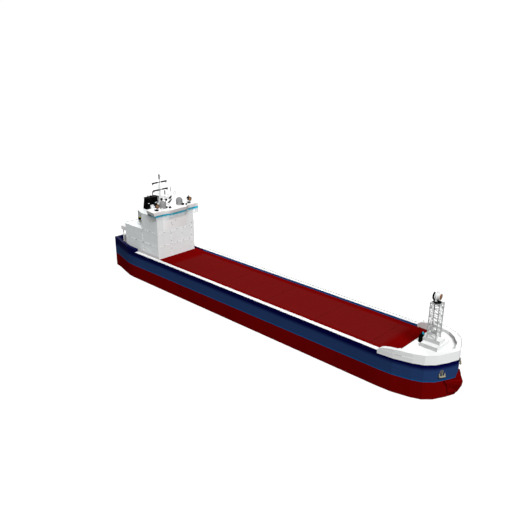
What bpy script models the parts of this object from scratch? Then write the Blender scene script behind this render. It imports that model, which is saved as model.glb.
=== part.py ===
"""Bulk carrier as a 1:10 scale model: hull, holds with folding covers, deckhouse, masts, propeller and rudder.

Metres, +X forward, +Y to port, +Z up. The origin is under the middle of the hull, on the plane of the keel.
"""

import math

import bmesh
import bpy
from mathutils import Matrix, Vector

# Driving sizes of the hull, at the model's scale of 1:10
BEAM = 1.25
HALF = BEAM / 2
STERN_X = -4.169
STEM_X = 4.070
BULB_X = 4.169
WATERLINE_Z = 0.2915
DECK_Z = 0.5735
SHEER_Z = 0.611
WALL = 0.076
GAP = 0.0003

# Half outlines of the hull from above, as (x, half breadth)
STERN_PLAN = (
    (-3.231, 0.625), (-3.401, 0.609), (-3.655, 0.544), (-3.959, 0.4625),
    (-4.020, 0.4525), (-4.152, 0.431), (STERN_X, 0.415),
)
BOW_PLAN = (
    (3.110, 0.625), (3.336, 0.6125), (3.6225, 0.549), (3.781, 0.485),
    (3.906, 0.364), (4.000, 0.184), (4.066, 0.016), (STEM_X, 0.0),
)

# Holds and covers: each hold is three panels long, then a cross deck of one panel's length
PANEL = 0.28
HOLDS = 5
PANELS_PER_HOLD = 3
HOLD_START = -2.22
HOLD_PITCH = PANEL * (PANELS_PER_HOLD + 1)
HOLD_END = HOLD_START + HOLD_PITCH * HOLDS - PANEL
COVER_THICK = 0.024
COVER_HALF = 0.543
PIN_GAP = 0.002
PIN_DROP = 0.002
MEETING_GAP = 0.009
LEDGE = 0.024
LEDGE_THICK = 0.012
LEDGE_TOP = DECK_Z - COVER_THICK - GAP
BULKHEAD = 0.04
TANK_TOP_Z = 0.12
DECK_PLATE = 0.010
CAP_THICK = 0.005

# Stern bulwark, forecastle and bow, whose white band rises towards the stem
BULWARK_FRONT = -3.100
BULWARK_Z = 0.6735
FORECASTLE_BREAK = 3.370
WING_START = 3.065
FOREDECK_Z = 0.672
SHEER_X = 3.336
SHEER_RISE = 0.028
BAND_Z = 0.562
FORECASTLE_Z = 0.717
BOW_INNER = (
    (3.529, 0.492), (3.665, 0.455), (3.800, 0.350), (3.925, 0.190), (3.985, 0.0),
)
# Upper edge of the wings that run from the rail up to the forecastle, as (x, z)
WING_SWEEP = (
    (WING_START, 0.618), (3.106, 0.654), (3.158, 0.676), (3.242, 0.697), (3.330, 0.712), (3.420, 0.7205),
)

# Deckhouse
HOUSE_FRONT = -2.4375
HOUSE_HALF = 0.490
LOWER_AFT = -3.655
LOWER_AFT_HALF = 0.450
LOWER_CORNER = -3.600
LOWER_TOP = 1.137
UPPER_AFT = -2.974
UPPER_MID = 1.361
OVERHANG_AFT = -3.2125
OVERHANG_HALF = 0.406
OVERHANG_Z = 1.236
UPPER_TOP = 1.497
WING_AFT = -2.694
SILL_Z = 1.473
HEAD_Z = 1.548
ROOF_Z = 1.625
HOUSE_WALL = 0.012
GLASS = 0.004
BULGE_HALF = 0.205
BULGE_SHOULDER = 0.330
MAST_HOUSE_AFT = -2.975
MAST_HOUSE_HALF = 0.06
GALLERY_LENGTH = 0.192
GALLERY_Z = 0.930

# Colour, roughness and metallic value of each paint
PAINTS = {
    "red_bottom": ((0.105, 0.002, 0.002), 0.5, 0.0),
    "red_deck": ((0.188, 0.008, 0.008), 0.6, 0.0),
    "navy": ((0.014, 0.024, 0.075), 0.45, 0.0),
    "white": ((0.85, 0.85, 0.84), 0.4, 0.0),
    "black": ((0.012, 0.012, 0.013), 0.45, 0.0),
    "grey": ((0.33, 0.33, 0.34), 0.5, 0.0),
    "anchor": ((0.26, 0.25, 0.18), 0.6, 0.3),
    "bronze": ((0.45, 0.28, 0.10), 0.3, 0.9),
    "glass": ((0.03, 0.36, 0.50), 0.1, 0.0),
}


def clear_scene():
    for old in list(bpy.data.objects):
        bpy.data.objects.remove(old, do_unlink=True)


def make_collection(name):
    collection = bpy.data.collections.new(name)
    bpy.context.scene.collection.children.link(collection)
    return collection


def make_paint(name):
    colour, roughness, metallic = PAINTS[name]
    paint = bpy.data.materials.new(name)
    paint.use_nodes = True
    shader = paint.node_tree.nodes["Principled BSDF"]
    shader.inputs["Base Color"].default_value = (*colour, 1.0)
    shader.inputs["Roughness"].default_value = roughness
    shader.inputs["Metallic"].default_value = metallic
    return paint


clear_scene()
SHIP = make_collection("bulk_carrier")
CUTTERS = make_collection("cutters")
PAINT = {name: make_paint(name) for name in PAINTS}

SHARP_ANGLE = math.radians(40)

# Turns of a flat shape drawn in x and y: stood up in x and z, or in y and z
FLAT = Matrix.Identity(4)
SIDE = Matrix(((1, 0, 0, 0), (0, 0, -1, 0), (0, 1, 0, 0), (0, 0, 0, 1)))
FRONT = Matrix(((0, 0, 1, 0), (1, 0, 0, 0), (0, 1, 0, 0), (0, 0, 0, 1)))


def add_mesh(name, bm, paint, smooth=False):
    """One closed body as an object of the ship."""
    bmesh.ops.recalc_face_normals(bm, faces=bm.faces)
    mesh = bpy.data.meshes.new(name)
    bm.to_mesh(mesh)
    bm.free()
    if smooth:
        mesh.shade_smooth()
        mesh.set_sharp_from_angle(angle=SHARP_ANGLE)
    mesh.materials.append(PAINT[paint])
    piece = bpy.data.objects.new(name, mesh)
    SHIP.objects.link(piece)
    return piece


def extruded(name, outlines, low, high, paint, turn=FLAT):
    """A flat outline, with its holes, filled and given thickness from low to high along its normal."""
    curve = bpy.data.curves.new(name, "CURVE")
    curve.dimensions = "2D"
    curve.fill_mode = "BOTH"
    curve.extrude = (high - low) / 2
    for outline in outlines:
        spline = curve.splines.new("POLY")
        spline.points.add(len(outline) - 1)
        spline.use_cyclic_u = True
        for point, (u, v) in zip(spline.points, outline):
            point.co = (u, v, 0.0, 1.0)
    drawn = bpy.data.objects.new(name + "_outline", curve)
    SHIP.objects.link(drawn)
    depsgraph = bpy.context.evaluated_depsgraph_get()
    mesh = bpy.data.meshes.new_from_object(drawn.evaluated_get(depsgraph))
    bm = bmesh.new()
    bm.from_mesh(mesh)
    bmesh.ops.remove_doubles(bm, verts=bm.verts, dist=1e-5)
    middle = (low + high) / 2
    if turn is SIDE:
        middle = -middle
    bmesh.ops.transform(bm, matrix=turn @ Matrix.Translation((0, 0, middle)), verts=bm.verts)
    bpy.data.objects.remove(drawn, do_unlink=True)
    bpy.data.curves.remove(curve)
    bpy.data.meshes.remove(mesh)
    return add_mesh(name, bm, paint)


def box(name, low, high, paint):
    bm = bmesh.new()
    bmesh.ops.create_cube(bm, size=1.0)
    low = Vector(low)
    high = Vector(high)
    bmesh.ops.scale(bm, vec=high - low, verts=bm.verts)
    bmesh.ops.translate(bm, vec=(low + high) / 2, verts=bm.verts)
    return add_mesh(name, bm, paint)


def rod(name, start, end, radius, paint, sides=12, end_radius=None):
    """A round bar or cone between two points."""
    start = Vector(start)
    end = Vector(end)
    along = end - start
    bm = bmesh.new()
    bmesh.ops.create_cone(
        bm, cap_ends=True, segments=sides, radius1=radius,
        radius2=radius if end_radius is None else end_radius, depth=along.length)
    turn = Vector((0, 0, 1)).rotation_difference(along).to_matrix().to_4x4()
    bmesh.ops.transform(bm, matrix=Matrix.Translation((start + end) / 2) @ turn, verts=bm.verts)
    return add_mesh(name, bm, paint, smooth=sides > 6)


def lofted(name, sections, paint):
    """A solid through sections with the same number of points, closed by its first and last section."""
    bm = bmesh.new()
    rings = [[bm.verts.new(point) for point in section] for section in sections]
    count = len(rings[0])
    for lower, upper in zip(rings, rings[1:]):
        for i in range(count):
            j = (i + 1) % count
            bm.faces.new((lower[i], lower[j], upper[j], upper[i]))
    bm.faces.new(rings[0])
    bm.faces.new(rings[-1])
    return add_mesh(name, bm, paint)


def combine(base, others, operation="UNION"):
    """Boolean of a piece with others, which become its hidden cutters."""
    for other in others:
        SHIP.objects.unlink(other)
        CUTTERS.objects.link(other)
        other.name = "cut_" + other.name
        other.hide_render = True
        other.display_type = "WIRE"
        step = base.modifiers.new(other.name, "BOOLEAN")
        step.object = other
        step.operation = operation
        step.solver = "EXACT"
    return base


def set_origin(piece, point):
    """Moves the piece's origin to a point, leaving the shape where it is."""
    point = Vector(point)
    piece.data.transform(Matrix.Translation(-point))
    piece.location = point
    return piece


def hang_on(piece, parent):
    piece.parent = parent
    piece.matrix_parent_inverse = Matrix.Translation(-parent.location)
    return piece


def mirrored(half):
    """A closed outline from one half that runs aft to forward along the port side."""
    port = [(x, y) for x, y in half]
    starboard = [(x, -y) for x, y in reversed(half) if y > 0.0]
    return port + starboard


def inset(half, distance):
    """The half outline moved in by a distance, measured square to its sides."""
    moved = []
    for i, (x, y) in enumerate(half):
        before = half[max(i - 1, 0)]
        after = half[min(i + 1, len(half) - 1)]
        along = Vector((after[0] - before[0], after[1] - before[1])).normalized()
        moved.append((x + along.y * distance, y - along.x * distance))
    return moved


def stern_half(front):
    return [(x, y) for x, y in reversed(STERN_PLAN)] + [(front, HALF)]


def stern_inner(front):
    """Inside of the stern's rim, which keeps the width of the side tanks."""
    half = [(STERN_X + WALL, 0.365), (-4.000, 0.385), (-3.655, 0.482), (-3.600, 0.493), (-3.401, 0.537)]
    return half + [(-3.231, HALF - WALL), (front, HALF - WALL)]


def bow_half(back):
    return [(back, HALF)] + list(BOW_PLAN)


def along_sheer(x, height):
    """Height of a line that is at the given height at SHEER_X and rises forward with the sheer."""
    return height + SHEER_RISE * (x - SHEER_X)


def make_stern():
    front = HOLD_START - GAP
    lower = extruded("lower_stern", [mirrored(stern_half(front))], 0.0, WATERLINE_Z, "red_bottom")
    tunnel = box("stern_tunnel", (STERN_X - 0.1, -0.17, -0.1), (-3.78, 0.17, 0.262), "red_bottom")
    combine(lower, [tunnel], "DIFFERENCE")
    upper = extruded("upper_stern", [mirrored(stern_half(front))], WATERLINE_Z + GAP, BULWARK_Z, "navy")
    floor_z = DECK_Z - DECK_PLATE - GAP
    pocket_front = HOLD_START + 0.1
    pocket = extruded("stern_pocket", [mirrored(stern_inner(pocket_front))], floor_z, 0.8, "navy")
    low_rail = box(
        "stern_low_rail", (BULWARK_FRONT, -1.0, SHEER_Z - CAP_THICK - GAP), (front + 0.1, 1.0, 0.8), "navy")
    combine(upper, [pocket, low_rail], "DIFFERENCE")
    deck_half = inset(stern_inner(front), GAP)
    deck_half[0] = (STERN_X + WALL + GAP, deck_half[0][1])
    deck_half[-1] = (front, HALF - WALL - GAP)
    extruded("stern_deck", [mirrored(deck_half)], DECK_Z - DECK_PLATE, DECK_Z, "red_deck")


def bulb_section(z, nose, near_x, near_half, back):
    return [
        (back, near_half, z), (near_x, near_half, z), (nose, 0.0, z),
        (near_x, -near_half, z), (back, -near_half, z),
    ]


def make_bow():
    back = HOLD_END + GAP
    outline = mirrored(bow_half(back))
    lower = extruded("lower_bow", [outline], 0.0, WATERLINE_Z, "red_bottom")
    # Bulb: height, nose, corner and half breadth of each section
    table = (
        (0.0, 4.060, 3.975, 0.155), (0.050, 4.100, 4.020, 0.150), (0.072, 4.112, 4.028, 0.156),
        (0.190, 4.163, 4.020, 0.180), (0.266, BULB_X, 4.003, 0.230), (0.2912, 4.150, 4.000, 0.240),
    )
    bulb = lofted("bulb", [bulb_section(z, nose, near, half, 3.80) for z, nose, near, half in table], "red_bottom")
    # The bulb's nose runs up into the stem above the waterline
    table = (
        (0.200, 4.100, 4.030, 0.060), (WATERLINE_Z, 4.140, 4.050, 0.036), (0.335, 4.116, 4.055, 0.022),
        (0.366, 4.084, 4.055, 0.010),
    )
    cap = lofted("bulb_cap", [bulb_section(z, nose, near, half, 3.90) for z, nose, near, half in table], "red_bottom")
    grown = [(x + 0.5 * GAP, y + GAP) for x, y in bow_half(back)[:-1]] + [(STEM_X + 2 * GAP, 0.0)]
    stem = extruded("stem_room", [mirrored(grown)], WATERLINE_Z - 0.002, 0.5, "red_bottom")
    combine(cap, [stem], "DIFFERENCE")
    combine(lower, [bulb, cap])
    upper = extruded("upper_bow", [mirrored(bow_half(WING_START))], WATERLINE_Z + GAP, 0.7, "navy")
    floor_z = DECK_Z - DECK_PLATE - GAP
    profile = [
        (WING_START - 0.1, WATERLINE_Z - 0.1), (back, WATERLINE_Z - 0.1), (back, floor_z),
        (FORECASTLE_BREAK, floor_z), (FORECASTLE_BREAK, 0.8), (WING_START - 0.1, 0.8),
    ]
    well = extruded("fore_well", [profile], -(HALF - WALL), HALF - WALL, "navy", SIDE)
    ends = (WING_START - 0.1, STEM_X + 0.1)
    under = [(x, along_sheer(x, BAND_Z) - GAP) for x in ends] + [(ends[1], 0.8), (ends[0], 0.8)]
    above = extruded("band_room", [under], -1.0, 1.0, "navy", SIDE)
    combine(upper, [well], "DIFFERENCE")
    combine(upper, [above], "DIFFERENCE")
    box(
        "fore_deck", (back, -(HALF - WALL - GAP), DECK_Z - DECK_PLATE),
        (FORECASTLE_BREAK - GAP, HALF - WALL - GAP, DECK_Z), "red_deck")


def make_forecastle():
    """White band around the bow with the foredeck in it, and side wings that sweep down to the rail."""
    block = extruded("forecastle", [mirrored(bow_half(WING_START))], BAND_Z, FORECASTLE_Z, "white")
    for vert in block.data.vertices:
        vert.co.z += along_sheer(vert.co.x, 0.0)
    before = WING_START - 0.1
    between = box(
        "between_wings", (before, -(HALF - WALL), BAND_Z - 0.1), (FORECASTLE_BREAK, HALF - WALL, 0.9), "white")
    well_half = [(FORECASTLE_BREAK - 0.05, 0.535)] + list(BOW_INNER)
    well = extruded("forecastle_well", [mirrored(well_half)], FOREDECK_Z, 0.9, "white")
    first = WING_SWEEP[0]
    last = WING_SWEEP[-1]
    over = [(before, first[1])] + list(WING_SWEEP) + [(last[0], 0.9), (before, 0.9)]
    sweep = extruded("over_wings", [over], -1.0, 1.0, "white", SIDE)
    combine(block, [between], "DIFFERENCE")
    combine(block, [well], "DIFFERENCE")
    combine(block, [sweep], "DIFFERENCE")
    return block


def make_sides():
    low = HOLD_START + GAP
    high = HOLD_END - GAP
    box(
        "double_bottom", (low, -(HALF - WALL - GAP), 0.0), (high, HALF - WALL - GAP, TANK_TOP_Z), "red_bottom")
    shelf = HALF - WALL - LEDGE
    top = SHEER_Z - CAP_THICK - GAP
    for side, name in ((-1, "starboard"), (1, "port")):
        lows, highs = sorted((side * (HALF - WALL), side * HALF))
        box("lower_shell_" + name, (low, lows, 0.0), (high, highs, WATERLINE_Z), "red_bottom")
        box(
            "upper_shell_" + name, (low, lows, WATERLINE_Z + GAP), (WING_START - GAP, highs, top), "navy")
        near, far = sorted((side * shelf, side * (HALF - WALL - GAP)))
        box(
            "ledge_" + name, (low, near, LEDGE_TOP - LEDGE_THICK), (high, far, LEDGE_TOP), "navy")
        box(
            "cap_rail_" + name, (BULWARK_FRONT + GAP, lows, SHEER_Z - CAP_THICK),
            (WING_START - GAP, highs, SHEER_Z), "white")


def make_cross_decks():
    clear = HALF - WALL - GAP
    shelf = HALF - WALL - LEDGE - GAP
    under = LEDGE_TOP - LEDGE_THICK - GAP
    for i in range(HOLDS - 1):
        start = HOLD_START + HOLD_PITCH * (i + 1) - PANEL
        name = "cross_deck_%d" % (i + 1)
        deck = box(
            name, (start, -clear, DECK_Z - COVER_THICK), (start + PANEL, clear, DECK_Z), "red_deck")
        middle = start + PANEL / 2
        section = [
            (-clear, TANK_TOP_Z + GAP), (clear, TANK_TOP_Z + GAP), (clear, under), (shelf, under),
            (shelf, DECK_Z - COVER_THICK / 2), (-shelf, DECK_Z - COVER_THICK / 2), (-shelf, under), (-clear, under),
        ]
        bulkhead = extruded(
            "bulkhead_%d" % (i + 1), [section], middle - BULKHEAD / 2, middle + BULKHEAD / 2, "red_deck", FRONT)
        combine(deck, [bulkhead])


def make_cover(name, back, front, pivot):
    panel = box(name, (back, -COVER_HALF, DECK_Z - COVER_THICK), (front, COVER_HALF, DECK_Z), "red_deck")
    return set_origin(panel, pivot)


def make_covers():
    """Each hold has a folding pair hinged on the deck aft of it and a single panel hinged on the deck ahead."""
    for i in range(HOLDS):
        start = HOLD_START + HOLD_PITCH * i
        fold = start + PANEL
        meet = start + 2 * PANEL
        end = start + 3 * PANEL
        number = "%d" % (i + 1)
        leading = make_cover(
            "cover_%s_aft" % number, start + PIN_GAP, fold - PIN_GAP / 2, (start, 0.0, DECK_Z))
        middle = make_cover(
            "cover_%s_middle" % number, fold + PIN_GAP / 2, meet - MEETING_GAP / 2,
            (fold, 0.0, DECK_Z - COVER_THICK - PIN_DROP))
        hang_on(middle, leading)
        make_cover(
            "cover_%s_fore" % number, meet + MEETING_GAP / 2, end - PIN_GAP, (end, 0.0, DECK_Z))


def wheelhouse_section(z, front, bulge, half, aft_half, off=0.0, aft=None):
    """Outline of the wheelhouse at one height: a straight front with a slight bay in the middle."""
    front -= off
    bulge -= off
    half -= off
    aft_half -= off
    if aft is None:
        aft = WING_AFT + off
    return [
        (aft, -aft_half, z), (front, -half, z), (front, -BULGE_SHOULDER, z), (bulge, -BULGE_HALF, z),
        (bulge, BULGE_HALF, z), (front, BULGE_SHOULDER, z), (front, half, z), (aft, aft_half, z),
    ]


# Wheelhouse levels: height, wing front, bay front, half breadth at the front and aft
WALL_LEVELS = (
    (UPPER_MID + GAP, HOUSE_FRONT, HOUSE_FRONT + 0.001, HOUSE_HALF, HOUSE_HALF),
    (1.400, HOUSE_FRONT, HOUSE_FRONT + 0.045, HOUSE_HALF, HOUSE_HALF),
    (SILL_Z, HOUSE_FRONT + 0.006, HOUSE_FRONT + 0.060, 0.500, 0.495),
    (HEAD_Z, -2.404, -2.348, 0.560, 0.525),
)
ROOF_LEVELS = (
    (HEAD_Z + GAP, -2.398, -2.342, 0.572, 0.535),
    (ROOF_Z, -2.380, -2.310, 0.602, 0.550),
)


def wall_levels(off):
    return [wheelhouse_section(*level, off=off) for level in WALL_LEVELS]


def stretched(levels, below, above):
    """The levels with the first one repeated lower and the last one higher, to cut right through."""
    first = [(x, y, z - below) for x, y, z in levels[0]]
    last = [(x, y, z + above) for x, y, z in levels[-1]]
    return [first] + levels + [last]


def make_wheelhouse():
    walls = lofted("wheelhouse_walls", wall_levels(0.0), "white")
    room = lofted("wheelhouse_room", stretched(wall_levels(HOUSE_WALL), 0.05, 0.05), "white")
    combine(walls, [room], "DIFFERENCE")
    low = SILL_Z + 0.006
    high = HEAD_Z - 0.006
    # Window openings: name, low corner and high corner in plan
    openings = []
    bay = BULGE_HALF / 2
    for i in range(4):
        start = -BULGE_HALF + bay * i
        openings.append(((-2.50, start + 0.006), (-2.30, start + bay - 0.006)))
    for side in (-1, 1):
        for start, end in ((0.340, 0.408), (0.418, 0.486)):
            near, far = sorted((side * start, side * end))
            openings.append(((-2.50, near), (-2.30, far)))
        for start, end in ((-2.672, -2.572), (-2.560, -2.452)):
            near, far = sorted((side * 0.47, side * 0.60))
            openings.append(((start, near), (end, far)))
    cutters = []
    for i, ((x0, y0), (x1, y1)) in enumerate(openings):
        cutters.append(box("window_%d" % i, (x0, y0, low), (x1, y1, high), "white"))
    combine(walls, cutters, "DIFFERENCE")
    # Band of glass around the front and the sides, open aft
    panes = WALL_LEVELS[2:]
    outer = [wheelhouse_section(*level, off=-GAP - GLASS, aft=WING_AFT + 0.004) for level in panes]
    inner = [wheelhouse_section(*level, off=-GAP, aft=WING_AFT - 0.05) for level in panes]
    glass = lofted("wheelhouse_glass", outer, "glass")
    hollow = lofted("glass_room", stretched(inner, 0.05, 0.05), "glass")
    combine(glass, [hollow], "DIFFERENCE")
    roof = lofted("wheelhouse_roof", [wheelhouse_section(*level) for level in ROOF_LEVELS], "white")
    pedestal = rod(
        "radar_pedestal", (POST_X, 0, ROOF_Z - 0.02), (POST_X, 0, PEDESTAL_TOP), 0.022, "white", 12, 0.016)
    combine(roof, [pedestal])


def make_deckhouse():
    half = [(LOWER_AFT, LOWER_AFT_HALF), (LOWER_CORNER, HOUSE_HALF), (HOUSE_FRONT, HOUSE_HALF)]
    extruded("deckhouse_lower", [mirrored(half)], DECK_Z + GAP, LOWER_TOP, "white")
    upper = box(
        "deckhouse_upper", (UPPER_AFT, -HOUSE_HALF, LOWER_TOP + GAP), (HOUSE_FRONT, HOUSE_HALF, UPPER_MID), "white")
    half = [(OVERHANG_AFT, OVERHANG_HALF), (UPPER_AFT, HOUSE_HALF - 0.001), (WING_AFT - GAP, HOUSE_HALF - 0.001)]
    gallery = extruded("bridge_deck", [mirrored(half)], OVERHANG_Z, UPPER_TOP, "white")
    combine(upper, [gallery])
    box(
        "mast_house", (MAST_HOUSE_AFT, -MAST_HOUSE_HALF, UPPER_TOP + GAP),
        (WING_AFT - 2 * GAP, MAST_HOUSE_HALF, ROOF_Z), "white")


def make_aft_gallery():
    """Open platform aft of the deckhouse at the height of its upper floor, on four posts."""
    front = LOWER_AFT - GAP
    aft = front - GALLERY_LENGTH
    slab_z = GALLERY_Z
    slab = box("aft_gallery", (aft, -0.440, slab_z), (front, 0.440, slab_z + 0.020), "white")
    parts = []
    for y in (-0.396, -0.140, 0.140, 0.396):
        parts.append(rod("post", (aft + 0.014, y, DECK_Z + GAP), (aft + 0.014, y, slab_z + 0.01), 0.010, "white", 8))
    for side in (-1, 1):
        low, high = sorted((side * 0.428, side * 0.439))
        parts.append(box("screen", (aft + 0.001, low, slab_z + 0.01), (front - 0.001, high, slab_z + 0.087), "white"))
    parts.append(box("screen", (aft + 0.0005, -0.4385, slab_z + 0.01), (aft + 0.012, 0.4385, slab_z + 0.088), "white"))
    combine(slab, parts)


# Funnel with a raked after side, off the centreline to starboard
FUNNEL_LOW = (-3.2125, -0.256, UPPER_TOP + GAP)
FUNNEL_HIGH = (-3.020, 0.030, 1.752)
FUNNEL_RAKE = 0.052


def make_funnel():
    sections = []
    for z, aft in ((FUNNEL_LOW[2], FUNNEL_LOW[0]), (FUNNEL_HIGH[2], FUNNEL_LOW[0] + FUNNEL_RAKE)):
        low = FUNNEL_LOW[1]
        high = FUNNEL_HIGH[1]
        front = FUNNEL_HIGH[0]
        sections.append([(aft, low, z), (front, low, z), (front, high, z), (aft, high, z)])
    casing = lofted("funnel", sections, "black")
    top = FUNNEL_HIGH[2]
    # Exhaust pipes: place, radius and height above the funnel
    table = ((-3.120, -0.180, 0.012, 0.034), (-3.110, -0.120, 0.022, 0.026), (-3.090, -0.075, 0.010, 0.114))
    pipes = [
        rod("exhaust", (x, y, top - 0.010), (x, y, top + height), radius, "black", 10)
        for x, y, radius, height in table
    ]
    combine(casing, pipes)


MAST_X = -2.931
MAST_TOP = 2.070
MASTHEAD_Z = 2.252
YARD_HALF = 0.195
PEDESTAL_TOP = 1.708
POST_X = -2.600
ARM_X = -2.575
ARM_Z = 1.780


def make_radar_mast():
    """Main mast on the mast house with an arm forward for the radars, and two yards across it."""
    mast = rod("radar_mast", (MAST_X, 0, ROOF_Z + GAP), (MAST_X, 0, MAST_TOP), 0.032, "white", 12, 0.014)
    parts = [
        box("arm", (MAST_X, -0.016, ARM_Z), (ARM_X + 0.030, 0.016, ARM_Z + 0.014), "white"),
        box("rest_upper", (ARM_X - 0.035, -0.040, ARM_Z - 0.002), (ARM_X + 0.035, 0.040, ARM_Z + 0.012), "white"),
        rod("stay", (MAST_X, 0, ARM_Z - 0.12), (-2.70, 0, ARM_Z + 0.006), 0.008, "white", 8),
    ]
    combine(mast, parts)
    # Yards: name, distance ahead of the mast's axis and height
    table = (("upper_yard", 0.0, MAST_TOP + 0.010), ("lower_yard", 0.0277, 1.925))
    for name, ahead, height in table:
        x = MAST_X + ahead
        yard = rod(name, (x, -YARD_HALF, height), (x, YARD_HALF, height), 0.0075, "black", 8)
        fittings = []
        for side in (-1, 1):
            y = side * (YARD_HALF - 0.02)
            fittings.append(rod("lamp", (x, y, height - 0.035), (x, y, height), 0.011, "black", 8))
        if name == "upper_yard":
            fittings.append(rod("masthead", (x, 0, MAST_TOP + GAP), (x, 0, MASTHEAD_Z), 0.009, "black", 8))
            fittings.append(rod("masthead_lamp", (x, 0, MASTHEAD_Z - 0.035), (x, 0, MASTHEAD_Z), 0.016, "black", 10))
        combine(yard, fittings)


def scanner(name, x, z, half, angle, height):
    """Turning bar antenna on a round drive, with its origin on the axis it turns about."""
    drive = rod(name, (0, 0, 0), (0, 0, height), 0.020, "black", 12)
    bar = box(name + "_bar", (-0.010, -half, height * 0.6), (0.010, half, height + 0.018), "black")
    bar.data.transform(Matrix.Rotation(math.radians(angle), 4, "Z"))
    combine(drive, [bar])
    drive.location = (x, 0.0, z)
    bar.location = (x, 0.0, z)


RADOME_R = 0.071
RADOME_SIDE = 0.084
RADOMES = (("radome_starboard", -2.560, -0.221), ("radome_port", -2.560, 0.221))


def make_radome(name, x, y):
    """Cylinder with a half-sphere top, turned about its own axis."""
    profile = [(0.0, RADOME_SIDE + RADOME_R)]
    steps = 6
    for i in range(1, steps + 1):
        turn = math.radians(90.0 * i / steps)
        profile.append((RADOME_R * math.sin(turn), RADOME_SIDE + RADOME_R * math.cos(turn)))
    profile += [(RADOME_R, 0.0), (0.0, 0.0)]
    bm = bmesh.new()
    verts = [bm.verts.new((radius, 0.0, z)) for radius, z in profile]
    edges = [bm.edges.new(pair) for pair in zip(verts, verts[1:])]
    bmesh.ops.spin(
        bm, geom=verts + edges, cent=(0, 0, 0), axis=(0, 0, 1), angle=2 * math.pi, steps=20, use_duplicate=False)
    bmesh.ops.remove_doubles(bm, verts=bm.verts, dist=1e-5)
    piece = add_mesh(name, bm, "grey", smooth=True)
    piece.location = (x, y, ROOF_Z + GAP)
    return piece


# Foremast: foot, half width of the square and heights
FOREMAST_X = 3.635
FOREMAST_HALF = 0.071
FOREMAST_FOOT = 0.798
FOREMAST_TOP = 1.362
BASE_STEPS = (
    ((3.526, -0.180, FOREDECK_Z + GAP), (3.800, 0.180, 0.735)),
    ((3.514, -0.082, FOREDECK_Z + GAP), (3.782, 0.082, FOREMAST_FOOT)),
)

# Searchlights: name, x, y, height of the seat, drum's radius and height of its axis over the seat
LIGHTS = (
    ("searchlight_starboard", -2.4975, -0.433, ROOF_Z, 0.045, 0.098),
    ("searchlight_port", -2.4975, 0.433, ROOF_Z, 0.045, 0.098),
    ("searchlight_foremast", FOREMAST_X, 0.0, FOREMAST_TOP, 0.062, 0.100),
)


def make_searchlight(name, x, y, seat, radius, axis_z):
    """Round lamp facing forward on a turning foot, with its origin on the axis it pans about."""
    foot = rod(name, (0, 0, GAP), (0, 0, 0.012), 0.044, "black", 16)
    stem = rod(name + "_stem", (0, 0, 0.006), (0, 0, axis_z), 0.013, "black", 10)
    drum = rod(name + "_drum", (-0.045, 0, axis_z), (0.045, 0, axis_z), radius, "black", 16)
    combine(foot, [stem, drum])
    for piece in (foot, stem, drum):
        piece.location = (x, y, seat)


def make_foremast():
    base = box("mast_base", BASE_STEPS[0][0], BASE_STEPS[0][1], "white")
    combine(base, [box("mast_base_upper", BASE_STEPS[1][0], BASE_STEPS[1][1], "white")])
    leg = 0.008
    edge = FOREMAST_HALF + leg
    mast = box(
        "foremast", (FOREMAST_X - edge, -edge, FOREMAST_TOP - 0.012), (FOREMAST_X + edge, edge, FOREMAST_TOP),
        "white")
    corners = [(-1, -1), (1, -1), (1, 1), (-1, 1)]
    parts = []
    for cx, cy in corners:
        foot = (FOREMAST_X + cx * FOREMAST_HALF, cy * FOREMAST_HALF, FOREMAST_FOOT + GAP)
        top = (foot[0], foot[1], FOREMAST_TOP - 0.004)
        parts.append(rod("leg", foot, top, leg, "white", 6))
    combine(mast, parts)
    rings = 5
    height = (FOREMAST_TOP - 0.012 - FOREMAST_FOOT) / rings
    braces = []
    for ring in range(rings):
        low = FOREMAST_FOOT + 0.020 + height * ring
        high = low + height - 0.010
        for (ax, ay), (bx, by) in zip(corners, corners[1:] + corners[:1]):
            start = (FOREMAST_X + ax * FOREMAST_HALF, ay * FOREMAST_HALF, low)
            end = (FOREMAST_X + bx * FOREMAST_HALF, by * FOREMAST_HALF, high)
            braces.append(rod("brace", start, end, 0.0045, "white", 4))
    combine(mast, braces)


def make_vent_post():
    """Black goose-neck vent at the after edge of the foredeck, with a pointed tip."""
    post = rod("vent_post", (3.451, -0.042, FOREDECK_Z + GAP), (3.451, -0.042, 0.785), 0.026, "black", 12)
    head = rod("vent_head", (3.4525, -0.0415, 0.760), (3.478, -0.026, 0.815), 0.0295, "black", 12)
    combine(post, [head])
    combine(post, [rod("vent_tip", (3.4752, -0.0268, 0.806), (3.490, -0.018, 0.839), 0.023, "black", 10, 0.004)])


def make_anchor(name, side):
    """Stockless anchor housed flat on the bow plating: shank in the hawse, crown and two flukes."""
    start = Vector((*BOW_PLAN[4], 0.0))
    end = Vector((*BOW_PLAN[5], 0.0))
    along = (end - start).normalized()
    out = Vector((-along.y, along.x, 0.0))
    if out.y < 0:
        out = -out
    centre = (start + end) / 2
    turn = Matrix((
        (along.x, out.x, 0, centre.x), (along.y, out.y, 0, centre.y), (0, 0, 1, 0), (0, 0, 0, 1)))
    shank = box(name, (-0.012, 0.004, 0.378), (0.012, 0.032, 0.450), "anchor")
    crown = box(name + "_crown", (-0.058, GAP, 0.366), (0.058, 0.050, 0.392), "anchor")
    flukes = []
    for way in (-1, 1):
        low, high = sorted((way * 0.032, way * 0.056))
        flukes.append(box(name + "_fluke", (low, 0.0015, 0.376), (high, 0.038, 0.432), "anchor"))
    for piece in [shank, crown] + flukes:
        piece.data.transform(turn)
        if side < 0:
            piece.data.transform(Matrix.Scale(-1, 4, (0, 1, 0)))
            piece.data.flip_normals()
    combine(shank, [crown] + flukes)


# Propeller and rudder in the stern tunnel
SHAFT_Z = 0.135
PROPELLER_X = -3.870
PROPELLER_R = 0.115
RUDDER_X = -4.010


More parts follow.
